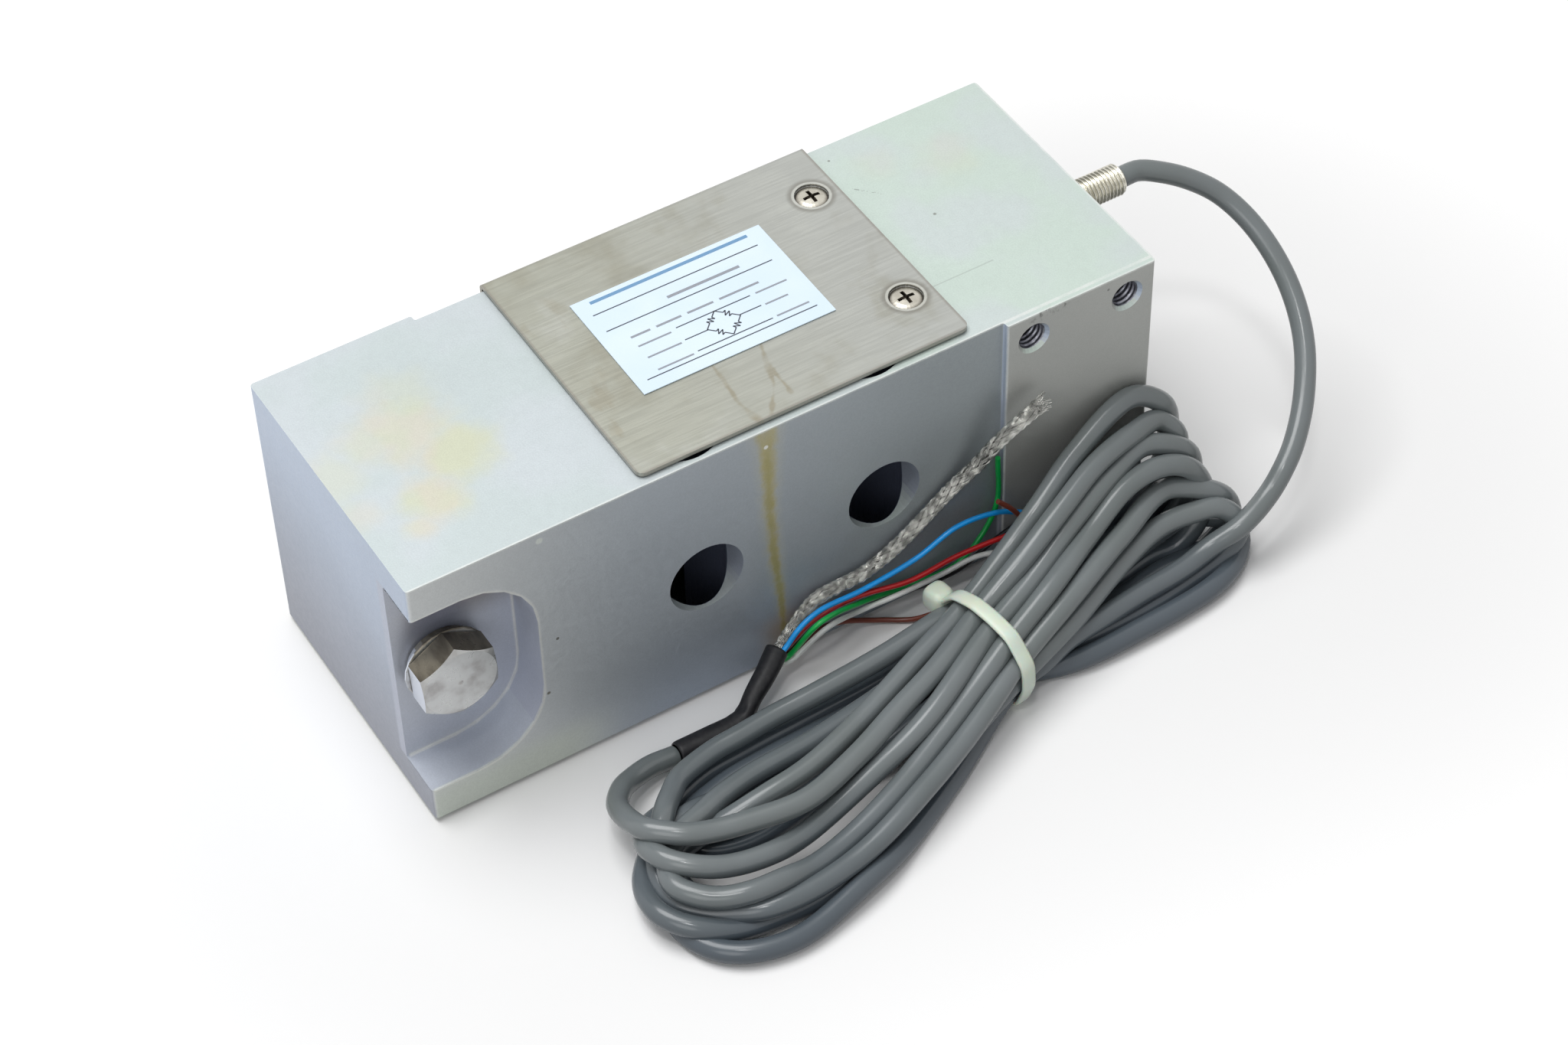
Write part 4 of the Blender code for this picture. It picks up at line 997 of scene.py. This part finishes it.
def thread_finish():
    return speckled("pad_thread", 700.0, (0.34, 0.35, 0.39), (0.16, 0.16, 0.19), 0.35, 0.75).material


def label_finish():
    return speckled("label_film_white", 60.0, (0.71, 0.84, 0.97), (0.75, 0.87, 0.98), 0.33).material


def cable_finish():
    finish = Finish("cable_grey", roughness=0.36)
    x, y, z = finish.places()
    colour = finish.blend(
        finish.ramp(finish.noise(45.0, 3.0), 0.35, 0.65), (0.150, 0.170, 0.170), (0.170, 0.190, 0.196)
    )
    # Strands low on the floor are painted darker and bluer, a painted shade, except near the tail.
    from_tail = finish.segment(x, y, (-0.0640, -0.0610), (-0.0420, -0.0500))
    low = finish.times(finish.ramp(z, 0.017, 0.002), finish.ramp(from_tail, 0.0045, 0.0085))
    colour = finish.blend(low, colour, (0.070, 0.088, 0.108))
    finish.drive("Base Color", colour)
    finish.drive("Roughness", finish.ramp(finish.noise(130.0, 3.0), 0.35, 0.65, 0.19, 0.27))
    return finish.material


def sleeve_finish():
    finish = Finish("sleeve_black", roughness=0.5)
    finish.set("Specular IOR Level", 0.35)
    finish.places()
    colour = finish.blend(
        finish.ramp(finish.noise(700.0), 0.4, 0.7), (0.007, 0.007, 0.009), (0.016, 0.016, 0.018)
    )
    finish.drive("Base Color", colour)
    finish.bump(finish.noise(900.0, 3.0), 0.0001, 0.5)
    return finish.material


def nylon_finish():
    finish = speckled("tie_natural", 180.0, (0.66, 0.75, 0.66), (0.70, 0.77, 0.63), 0.36)
    finish.set("Subsurface Weight", 0.35)
    finish.set("Subsurface Scale", 0.0015)
    return finish.material


def braid_finish():
    return speckled("braid_tinned", 520.0, (0.68, 0.68, 0.64), (0.34, 0.34, 0.32), 0.24, 0.95, 2.0).material


def wire_finish(colour_name, colour):
    darker = tuple(0.86 * part for part in colour)
    return speckled("wire_" + colour_name, 150.0, colour, darker, 0.30).material


def even_finish(name, colour, roughness, metallic=0.0):
    return Finish(name, colour, roughness, metallic).material


# Camera, floor and light

def make_camera():
    camera = bpy.data.cameras.new("camera")
    camera.lens = CAMERA_LENS
    camera.sensor_width = CAMERA_SENSOR
    camera.clip_start = 0.01
    camera.clip_end = 20.0
    item = bpy.data.objects.new("camera", camera)
    bpy.context.scene.collection.objects.link(item)
    turn = Matrix.Rotation(-CAMERA_TURN, 4, "Z")
    tilt = Matrix.Rotation(math.radians(90.0) - CAMERA_DOWN, 4, "X")
    roll = Matrix.Rotation(CAMERA_ROLL, 4, "Z")
    item.matrix_world = Matrix.Translation(CAMERA_PLACE) @ turn @ tilt @ roll
    bpy.context.scene.camera = item


def brightened(tree, base, bright):
    """A number that is raised where the camera, a gloss or a clear piece sees the surface."""
    rays = tree.nodes.new("ShaderNodeLightPath")
    seen = rays.outputs["Is Camera Ray"]
    for name in ("Is Glossy Ray", "Is Transmission Ray"):
        most = tree.nodes.new("ShaderNodeMath")
        most.operation = "MAXIMUM"
        tree.links.new(seen, most.inputs[0])
        tree.links.new(rays.outputs[name], most.inputs[1])
        seen = most.outputs[0]
    level = tree.nodes.new("ShaderNodeMapRange")
    level.inputs["To Min"].default_value = base
    level.inputs["To Max"].default_value = bright
    tree.links.new(seen, level.inputs["Value"])
    return level.outputs["Result"]


def make_floor():
    mesh = bpy.data.meshes.new("floor")
    corners = [(FLOOR_REACH * x, FLOOR_REACH * y, 0.0) for x, y in ((-1, -1), (1, -1), (1, 1), (-1, 1))]
    mesh.from_pydata(corners, [], [(0, 1, 2, 3)])
    floor = bpy.data.objects.new("floor", mesh)
    bpy.context.scene.collection.objects.link(floor)
    finish = Finish("floor_white", FLOOR_COLOUR, 0.9)
    shown = brightened(finish.tree, FLOOR_COLOUR[0], FLOOR_SEEN)
    finish.drive("Base Color", shown)
    finish.set("Specular IOR Level", 0.0)
    finish.set("Emission Color", (1.0, 1.0, 1.0, 1.0))
    x, y, _ = finish.places()
    # The glow fades out towards the object: a painted shadow round it.
    away = finish.ramp(finish.segment(x, y, *FLOOR_GLOW_LINE), *FLOOR_GLOW_REACH)
    finish.drive("Emission Strength", finish.times(brightened(finish.tree, 0.0, FLOOR_GLOW), away))
    mesh.materials.append(finish.material)


def make_world():
    world = bpy.data.worlds.new("studio")
    bpy.context.scene.world = world
    world.use_nodes = True
    tree = world.node_tree
    tree.links.new(brightened(tree, WORLD_LEVEL, 1.0), tree.nodes["Background"].inputs["Strength"])
    tree.nodes["Background"].inputs["Color"].default_value = (1.0, 1.0, 1.0, 1.0)


def make_light(name, place, aim, size, power):
    light = bpy.data.lights.new(name, "AREA")
    light.shape = "DISK"
    light.size = size
    light.energy = power
    item = bpy.data.objects.new(name, light)
    bpy.context.scene.collection.objects.link(item)
    direction = Vector(aim) - Vector(place)
    item.matrix_world = Matrix.Translation(place) @ direction.to_track_quat("-Z", "Y").to_matrix().to_4x4()


# The cable

def hank_places(places):
    """The hank's own (along, across, up) millimetres as places in the model."""
    places = np.array(places, float) * MM
    along = np.array((math.cos(HANK_TURN), math.sin(HANK_TURN), 0.0))
    across = np.array((-math.sin(HANK_TURN), math.cos(HANK_TURN), 0.0))
    up = np.array((0.0, 0.0, 1.0))
    centre = np.array((*HANK_CENTRE, 0.0))
    return centre + places[:, :1] * along + places[:, 1:2] * across + places[:, 2:] * up


def cable_route():
    """The whole cable from the gland to the sleeve, and how far along it the ends that stay put reach."""
    wound = [*LEAD_PLACES, LEAD_IN_TIE]
    for turn in TURNS:
        for stage in TURN_ORDER:
            wound += turn[stage] if isinstance(turn[stage], list) else [turn[stage]]
    wound += TAIL_PLACES
    knots = np.vstack([CABLE_RUN_POINTS, hank_places(wound)])
    path, knot_place = smooth_path(knots, CABLE_STEP)
    free = (knot_place > len(CABLE_RUN_POINTS) - 2) & (knot_place < len(knots) - 2.6)
    return path, free


def close_pairs(path, reach):
    """Pairs of points nearer than the reach that aren't neighbours on the cable."""
    firsts, seconds = [], []
    block = 400
    for start in range(0, len(path), block):
        offsets = path[start:start + block, None] - path[None]
        first, second = np.nonzero((offsets**2).sum(2) < reach**2)
        first += start
        apart = second > first + SETTLE_NEIGHBOURS
        firsts.append(first[apart])
        seconds.append(second[apart])
    return np.concatenate(firsts), np.concatenate(seconds)


def settle(path, free):
    """Lay the strands on and beside each other, nearly a diameter apart, clear of floor and beam."""
    home = path.copy()
    view = home - np.array(CAMERA_PLACE)
    view /= np.linalg.norm(view, axis=1)[:, None]
    moves = free[:, None].astype(float)
    radius = CABLE_DIAMETER / 2
    for step in range(SETTLE_ROUNDS):
        if step % SETTLE_SEARCH_EVERY == 0:
            first, second = close_pairs(path, SETTLE_GAP + SETTLE_REACH)
        offset = path[first] - path[second]
        distance = np.maximum(np.linalg.norm(offset, axis=1), 1e-7)
        overlap = SETTLE_GAP - distance
        touching = overlap > 0
        push = offset[touching] / distance[touching, None] * overlap[touching, None] * SETTLE_PUSH
        total = np.zeros_like(path)
        count = np.zeros(len(path))
        for index, sign in ((first[touching], 1.0), (second[touching], -1.0)):
            np.add.at(total, index, sign * push)
            np.add.at(count, index, 1.0)
        path = path + total / np.maximum(1.0, count / 2)[:, None] * moves
        away = home - path
        along = (away * view).sum(1)[:, None] * view
        hold = SETTLE_HOLD * (1 - step / SETTLE_ROUNDS) + SETTLE_HOLD_LAST
        path = path + ((away - along) + along * SETTLE_ALONG_VIEW) * hold * moves
        span = BEND_SPAN
        inward = np.zeros_like(path)
        inward[span:-span] = (path[:-2 * span] + path[2 * span:]) / 2 - path[span:-span]
        sag = np.linalg.norm(inward, axis=1)
        allowed = (span * CABLE_STEP) ** 2 / (2 * LEAST_BEND)
        excess = np.maximum(sag - allowed, 0.0) / np.maximum(sag, 1e-9)
        path = path + inward * excess[:, None] * BEND_PULL * moves
        for _ in range(3):
            bend = np.zeros_like(path)
            bend[2:-2] = (4 * path[1:-3] + 4 * path[3:-1] - path[:-4] - path[4:] - 6 * path[2:-2]) / 16
            path = path + bend * SETTLE_STIFFNESS * moves
        path[:, 2] = np.maximum(path[:, 2], radius)
        face = np.where(path[:, 0] > PAD_START, PAD_FRONT, FRONT_FACE) - radius
        beside = np.abs(path[:, 0]) < BEAM_HIGH.x + radius
        behind = free & beside & (path[:, 1] > face) & (path[:, 1] < BEAM_SIDE_LIMIT)
        path[behind, 1] = face[behind]

    # What was moved is evened out along the cable, so no strand is left lumpy
    moved = path - home
    for _ in range(EVEN_ROUNDS):
        moved[1:-1] += (moved[:-2] + moved[2:] - 2 * moved[1:-1]) / 4 * moves[1:-1]
    path = home + moved
    path[:, 2] = np.maximum(path[:, 2], radius)
    return path


def convex_hull(points):
    """Outline round points in a plane, anticlockwise."""
    points = sorted(map(tuple, points))

    def half(ordered):
        chain = []
        for point in ordered:
            while len(chain) >= 2 and (
                (chain[-1][0] - chain[-2][0]) * (point[1] - chain[-2][1])
                - (chain[-1][1] - chain[-2][1]) * (point[0] - chain[-2][0])
            ) <= 0:
                chain.pop()
            chain.append(point)
        return chain[:-1]

    return half(points) + half(reversed(points))


def tie_loop(path):
    """The strap's inner line round the strands as they lie under the tie, in the hank's across and up."""
    centre = np.array((*HANK_CENTRE, 0.0))
    along = np.array((math.cos(HANK_TURN), math.sin(HANK_TURN), 0.0))
    across = np.array((-math.sin(HANK_TURN), math.cos(HANK_TURN), 0.0))
    reach = (path - centre) @ along
    radius = CABLE_DIAMETER / 2 + TIE_CLEARANCE
    corners = []
    for index in np.nonzero(np.abs(reach) < TIE_WIDTH / 2)[0]:
        place = path[index] - centre
        for step in range(24):
            angle = math.radians(15.0 * step)
            up = place[2] + radius * math.sin(angle)
            corners.append((place @ across + radius * math.cos(angle), max(up, TIE_THICKNESS * 0.3)))
    hull = np.array(convex_hull(corners))
    closed = np.vstack([hull, hull[:1]])
    walked = np.r_[0.0, np.cumsum(np.linalg.norm(np.diff(closed, axis=0), axis=1))]
    count = 2 * round(walked[-1] / TIE_STEP / 2)
    stops = np.linspace(0.0, walked[-1], count, endpoint=False)
    loop = np.column_stack([np.interp(stops, walked, closed[:, axis]) for axis in range(2)])
    for _ in range(8):
        loop = (np.roll(loop, 1, 0) + 2 * loop + np.roll(loop, -1, 0)) / 4
    return loop


def make_tie(path, material):
    """Strap drawn round the strands as they lie under it, and its moulded head."""
    loop = tie_loop(path)
    ahead = np.roll(loop, -1, 0) - np.roll(loop, 1, 0)
    ahead /= np.linalg.norm(ahead, axis=1)[:, None]
    outward = np.column_stack([ahead[:, 1], -ahead[:, 0]])
    half = TIE_WIDTH / 2
    cut = TIE_THICKNESS * 0.25
    section = [
        (-half, cut), (-half + cut, 0.0), (half - cut, 0.0), (half, cut),
        (half, TIE_THICKNESS - cut), (half - 2 * cut, TIE_THICKNESS),
        (-half + 2 * cut, TIE_THICKNESS), (-half, TIE_THICKNESS - cut),
    ]
    rings = []
    for index, (place, out) in enumerate(zip(loop, outward)):
        ridge = TIE_RIDGE * (index % 2)
        ring = []
        for sideways, depth in section:
            flat = place + out * (depth - (ridge if depth > TIE_THICKNESS / 2 else -ridge))
            ring.append((sideways / MM, flat[0] / MM, max(flat[1] / MM, 0.05)))
        rings.append(hank_places(ring))
    rings.append(rings[0])
    mesh = grid_mesh("cable_tie_strap", rings)
    strap = new_piece("cable_tie_strap", mesh, material)
    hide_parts("cable_tie")

    # Head: a block with well rounded corners, and the strap's cut end that stands out of it
    rings = []
    rows, columns, squareness = 24, 36, 0.62
    for row in range(rows + 1):
        rise = math.pi * (row / rows - 0.5)
        ring = []
        for column in range(columns):
            turn = 2 * math.pi * column / columns
            flat = abs(math.cos(rise)) ** squareness
            ring.append([
                TIE_HEAD_PLACE[axis] + TIE_HEAD_SIZE[axis] / 2 * part
                for axis, part in enumerate((
                    flat * math.copysign(abs(math.cos(turn)) ** squareness, math.cos(turn)),
                    flat * math.copysign(abs(math.sin(turn)) ** squareness, math.sin(turn)),
                    math.copysign(abs(math.sin(rise)) ** squareness, math.sin(rise)),
                ))
            ])
        rings.append(hank_places(ring))
    head = new_piece("cable_tie_head", grid_mesh("cable_tie_head", rings), material)
    return [strap, head]


def threaded_rings(outer, inner, pitch, stops, columns, fade_in=0.0, fade_out=0.0):
    """Rings of (along, across, up) whose radius follows a helical thread between two radii."""
    rings = []
    for stop in stops:
        ring = []
        share = 1.0
        if fade_in:
            share = min(share, max(0.0, (stop - stops[0]) / fade_in))
        if fade_out:
            share = min(share, max(0.0, (stops[-1] - stop) / fade_out))
        for column in range(columns):
            turn = column / columns
            phase = (stop / pitch - turn) % 1.0
            tooth = abs(2.0 * phase - 1.0)
            tooth = min(1.0, max(0.0, tooth * 1.25 - 0.125))
            radius = outer - (outer - inner) * tooth * share
            angle = 2 * math.pi * turn
            ring.append((stop, radius * math.cos(angle), radius * math.sin(angle)))
        rings.append(ring)
    return rings


def make_gland(material):
    """Threaded nipple: a fine thread up to a small chamfer, and the bore that the cable comes out of."""
    outer = NODE_GLAND_RADIUS
    start = BEAM_HIGH.x - 0.0012
    end = GLAND_HIGH.x
    stops = np.arange(start, end - 0.0006, GLAND_PITCH / 10)
    rings = threaded_rings(outer, outer - GLAND_THREAD_DEPTH, GLAND_PITCH, stops, 48)
    columns = len(rings[0])

    def plain_ring(along, radius):
        return [
            (
                along,
                radius * math.cos(2 * math.pi * column / columns),
                radius * math.sin(2 * math.pi * column / columns),
            )
            for column in range(columns)
        ]

    rings += [
        plain_ring(end - 0.0005, outer - 0.0003),
        plain_ring(end, outer - 0.0008),
        plain_ring(end, GLAND_BORE_RADIUS + 0.0001),
        plain_ring(end - 0.0002, GLAND_BORE_RADIUS),
        plain_ring(end - 0.0030, GLAND_BORE_RADIUS),
    ]
    placed = []
    for ring in rings:
        placed.append([(along, across + GLAND_AXIS[0], up + GLAND_AXIS[1]) for along, across, up in ring])
    gland = new_piece("gland_thread", grid_mesh("gland_thread", placed), material)
    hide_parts("cable_gland")
    return gland


def make_pad_threads(material):
    """The tapped threads that line the mounting holes of both pads."""
    stops = np.arange(PAD_THREAD_START, PAD_THREAD_END, PAD_THREAD_PITCH / 6)
    rings = threaded_rings(PAD_THREAD_OUTER, PAD_THREAD_INNER, PAD_THREAD_PITCH, stops, 32, fade_in=0.0006)
    for side, face in ((1.0, BEAM_LOW.y), (-1.0, BEAM_HIGH.y)):
        for number, hole_x in enumerate(PAD_HOLES_X):
            for level, hole_z in enumerate(PAD_HOLES_Z):
                placed = []
                for ring in rings:
                    placed.append([
                        (side * (hole_x + across), face + side * along, hole_z + up)
                        for along, across, up in ring
                    ])
                name = "pad_thread_{}_{}_{}".format("front" if side > 0 else "back", number, level)
                new_piece(name, grid_mesh(name, placed), material)


def sleeve_piece(material):
    """Shrink sleeve: snug on the cable, pinched where it kinks, and open at its mouth."""
    path, _ = smooth_path(SLEEVE_POINTS, 0.0005)
    tangents, sides, tops = path_frames(path)
    shares = np.linspace(0.0, 1.0, len(path))
    table = np.array(SLEEVE_SECTIONS)
    widths = np.interp(shares, table[:, 0], table[:, 1]) * MM
    depths = np.interp(shares, table[:, 0], table[:, 2]) * MM
    columns = 40
    angles = np.linspace(0.0, 2 * math.pi, columns, endpoint=False)

    def ring(index, inset=0.0, back=0.0):
        crease = 0.10 * math.exp(-((shares[index] - 0.55) / 0.035) ** 2)
        points = []
        for angle in angles:
            fold = 1.0 + crease * math.sin(3 * angle + 1.0) + 0.35 * crease * math.sin(7 * angle)
            across = (widths[index] - inset) * fold * math.cos(angle)
            up = (depths[index] - inset) * fold * math.sin(angle)
            points.append(path[index] - tangents[index] * back + sides[index] * across + tops[index] * up)
        return points

    rings = [ring(0, inset=0.0004), ring(0, inset=0.0001)]
    rings += [ring(index) for index in range(1, len(path))]
    last = len(path) - 1
    rings += [
        ring(last, inset=SLEEVE_WALL),
        ring(last, inset=SLEEVE_WALL, back=SLEEVE_MOUTH_DEPTH),
        ring(last, inset=widths[last] - 0.0001, back=SLEEVE_MOUTH_DEPTH),
    ]
    sleeve = new_piece("shrink_sleeve", grid_mesh("shrink_sleeve", rings), material)
    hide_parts("end_sleeve")
    return sleeve


def make_braid(material, core_material):
    """Screen of plaited bundles of fine tinned wires, drawn out of the sleeve and frayed at its end."""
    path, _ = smooth_path(BRAID_POINTS, 0.0009)
    sides, tops = path_frames(path)[1:]
    walked = np.r_[0.0, np.cumsum(np.linalg.norm(np.diff(path, axis=0), axis=1))]
    full = BRAID_DIAMETER / 2 - BRAID_WAVE - BRAID_WIRE_DIAMETER / 2
    radii = full * np.interp(
        walked, [0.0, 0.004, 0.014, walked[-1] - BRAID_FRAY, walked[-1]], [0.70, 0.80, 1.0, 1.0, 1.2]
    )
    random = np.random.default_rng(11)
    turning = 2 * math.pi * BRAID_TURNS_PER_METRE
    vertices, faces = [], []
    for direction in (1, -1):
        for carrier in range(BRAID_CARRIERS):
            wander = np.interp(walked, np.linspace(0, walked[-1], 14), random.normal(0.0, 0.10, 14))
            for wire in range(BRAID_WIRES):
                end = len(path) - int(random.integers(0, 5))
                along = walked[:end]
                start_angle = 2 * math.pi * carrier / BRAID_CARRIERS
                angle = direction * (turning * along) + start_angle + wander[:end]
                angle = angle + (wire - (BRAID_WIRES - 1) / 2) * BRAID_WIRE_DIAMETER * 1.25 / full
                wave = direction * BRAID_WAVE * np.cos(BRAID_CARRIERS * turning * along)
                radius = radii[:end] + wave + random.normal(0.0, 0.00003, end)
                flare = np.clip((along - (walked[-1] - BRAID_FRAY)) / BRAID_FRAY, 0.0, 1.0)
                radius = radius + flare**2 * abs(random.normal(0.0, 0.0004))
                out = sides[:end] * np.cos(angle)[:, None] + tops[:end] * np.sin(angle)[:, None]
                centres = path[:end] + out * radius[:, None]
                run = np.gradient(centres, axis=0)
                run /= np.linalg.norm(run, axis=1)[:, None]
                beside = np.cross(run, out)
                beside /= np.linalg.norm(beside, axis=1)[:, None]
                first = len(vertices)
                for place, away, flank in zip(centres, out, beside):
                    for corner in range(3):
                        turn = 2 * math.pi * corner / 3
                        offset = away * math.cos(turn) + flank * math.sin(turn)
                        vertices.append(tuple(place + offset * BRAID_WIRE_DIAMETER / 2))
                for row in range(end - 1):
                    for corner in range(3):
                        following = (corner + 1) % 3
                        low, high = first + 3 * row, first + 3 * row + 3
                        faces.append((low + corner, low + following, high + following, high + corner))
    mesh = bpy.data.meshes.new("braid_screen")
    mesh.from_pydata(vertices, [], faces)
    mesh.shade_smooth()
    braid = new_piece("braid_screen", mesh, material)
    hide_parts("shield_braid")

    # A dark core inside the braid, a painted shade that shows through its gaps.
    core_rings = []
    for index in range(len(path) - 4):
        core_radius = radii[index] - BRAID_WAVE
        core_rings.append([
            path[index] + (sides[index] * math.cos(angle) + tops[index] * math.sin(angle)) * core_radius
            for angle in np.linspace(0.0, 2 * math.pi, 16, endpoint=False)
        ])
    core_mesh = grid_mesh("braid_core", core_rings, cap_ends=True)
    core = new_piece("braid_core", core_mesh, core_material)


def make_wires():
    """Insulated cores, from inside the sleeve's mouth to their ends behind the hank."""
    mouth = np.array(SLEEVE_POINTS[-1])
    ahead = mouth - np.array(SLEEVE_POINTS[-2])
    ahead /= np.linalg.norm(ahead)
    for colour, points in WIRE_POINTS.items():
        first = np.array(points[0])
        sideways = (first - mouth) - ahead * ((first - mouth) @ ahead)
        inner = mouth - ahead * 0.002 + sideways * 0.45
        path, _ = smooth_path([inner, *points], 0.0008)
        name = "lead_" + colour
        curve = tube_curve(name, path, WIRE_DIAMETER, 4)
        wire = new_piece(name, curve, wire_finish(colour, WIRE_COLOURS[colour]))
        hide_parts("wire_" + colour)


def label_point(share_x, share_y):
    width = LABEL_HIGH.x - LABEL_LOW.x
    depth = LABEL_HIGH.y - LABEL_LOW.y
    return LABEL_LOW.x + share_x * width, LABEL_HIGH.y - share_y * depth


def print_mesh(name, shapes):
    """Thin flat strokes on the label: each shape is a start, an end and a width."""
    vertices, faces = [], []
    low = LABEL_HIGH.z + PRINT_LIFT
    high = low + PRINT_THICKNESS
    for start, end, width in shapes:
        start, end = np.array(start), np.array(end)
        run = (end - start) / np.linalg.norm(end - start)
        side = np.array((-run[1], run[0])) * width / 2
        corners = [start - side, end - side, end + side, start + side]
        first = len(vertices)
        vertices += [(*corner, low) for corner in corners] + [(*corner, high) for corner in corners]
        faces.append(tuple(first + index for index in (4, 5, 6, 7)))
        faces.append(tuple(first + index for index in (3, 2, 1, 0)))
        for index in range(4):
            following = (index + 1) % 4
            faces.append((first + index, first + following, first + 4 + following, first + 4 + index))
    mesh = bpy.data.meshes.new(name)
    mesh.from_pydata(vertices, [], faces)
    return mesh


def make_print(ink, faded_ink, panel_ink):
    """Generic print: rules, a bridge diagram, and plain bars where text would be."""
    rules = []
    for start, level, end in PRINT_RULES:
        rules.append((label_point(start, level), label_point(end, level), RULE_WIDTH))
    corners = [
        label_point(BRIDGE_MIDDLE[0] - BRIDGE_REACH[0], BRIDGE_MIDDLE[1]),
        label_point(BRIDGE_MIDDLE[0], BRIDGE_MIDDLE[1] - BRIDGE_REACH[1]),
        label_point(BRIDGE_MIDDLE[0] + BRIDGE_REACH[0], BRIDGE_MIDDLE[1]),
        label_point(BRIDGE_MIDDLE[0], BRIDGE_MIDDLE[1] + BRIDGE_REACH[1]),
    ]
    for start, end in zip(corners, corners[1:] + corners[:1]):
        start, end = np.array(start), np.array(end)
        run = end - start
        side = np.array((-run[1], run[0])) * 0.13
        shares = [(0.0, 0), (0.34, 0), (0.38, 1), (0.46, -1), (0.54, 1), (0.62, -1), (0.66, 0), (1.0, 0)]
        stops = [start + run * share + side * offset for share, offset in shares]
        for first, second in zip(stops, stops[1:]):
            rules.append((tuple(first), tuple(second), RULE_WIDTH))
    new_piece("label_rules", print_mesh("label_rules", rules), ink)
    height = LABEL_HIGH.y - LABEL_LOW.y
    bars = []
    for start, level, end, tall in PRINT_BARS:
        bars.append((label_point(start, level), label_point(end, level), tall * height))
    new_piece("label_bars", print_mesh("label_bars", bars), faded_ink)
    start, level, end, tall = PRINT_PANEL
    panel = [(label_point(start, level), label_point(end, level), tall * height)]
    new_piece("label_band", print_mesh("label_band", panel), panel_ink)


def make_cable(material):
    path, free = cable_route()
    path = settle(path, free)
    curve = tube_curve("signal_cable", path, CABLE_DIAMETER, 8)
    cable = new_piece("signal_cable", curve, material)
    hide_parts("cable_run", "cable_hank", "cable_tail")
    return cable, path


def dress_nodes():
    """Put a finish on each solid that is shown as it is."""
    finishes = {
        "beam_body": beam_finish(),
        "cover_saddle": cover_finish(),
        "label": label_finish(),
    }
    bolt = bolt_finish()
    screw = screw_finish()
    gauge = even_finish("gauge_film", (0.55, 0.35, 0.12), 0.4)
    board = even_finish("board_green", (0.03, 0.16, 0.06), 0.45)
    resistor = even_finish("resistor_blue", (0.10, 0.22, 0.40), 0.4)
    core = even_finish("core_wrap", (0.6, 0.6, 0.58), 0.5)
    for name, node in NODES.items():
        if name in finishes:
            chosen = finishes[name]
        elif name.startswith("stop_"):
            chosen = bolt
        elif name.startswith("cover_screw"):
            chosen = screw
        elif name.startswith("strain_gauge"):
            chosen = gauge
        elif name.startswith("trim_resistor"):
            chosen = resistor
        elif name == "terminal_board":
            chosen = board
        else:
            chosen = core
        node.data.materials.clear()
        node.data.materials.append(chosen)


def main():
    bpy.context.scene.view_settings.view_transform = "Standard"
    make_camera()
    make_floor()
    make_world()
    make_light("key", *KEY_LIGHT)
    make_light("fill", *FILL_LIGHT)
    make_light("small", *SMALL_LIGHT)
    dress_nodes()

    cable, path = make_cable(cable_finish())
    tie = make_tie(path, nylon_finish())
    sleeve = sleeve_piece(sleeve_finish())
    gland = make_gland(nickel_finish())
    make_braid(braid_finish(), even_finish("braid_shadow", (0.05, 0.048, 0.045), 0.6))
    make_wires()
    make_pad_threads(thread_finish())
    ink = even_finish("print_dark", (0.05, 0.055, 0.07), 0.4)
    faded_ink = even_finish("print_grey", (0.30, 0.32, 0.36), 0.4)
    make_print(ink, faded_ink, even_finish("print_band", (0.16, 0.32, 0.52), 0.4))


main()
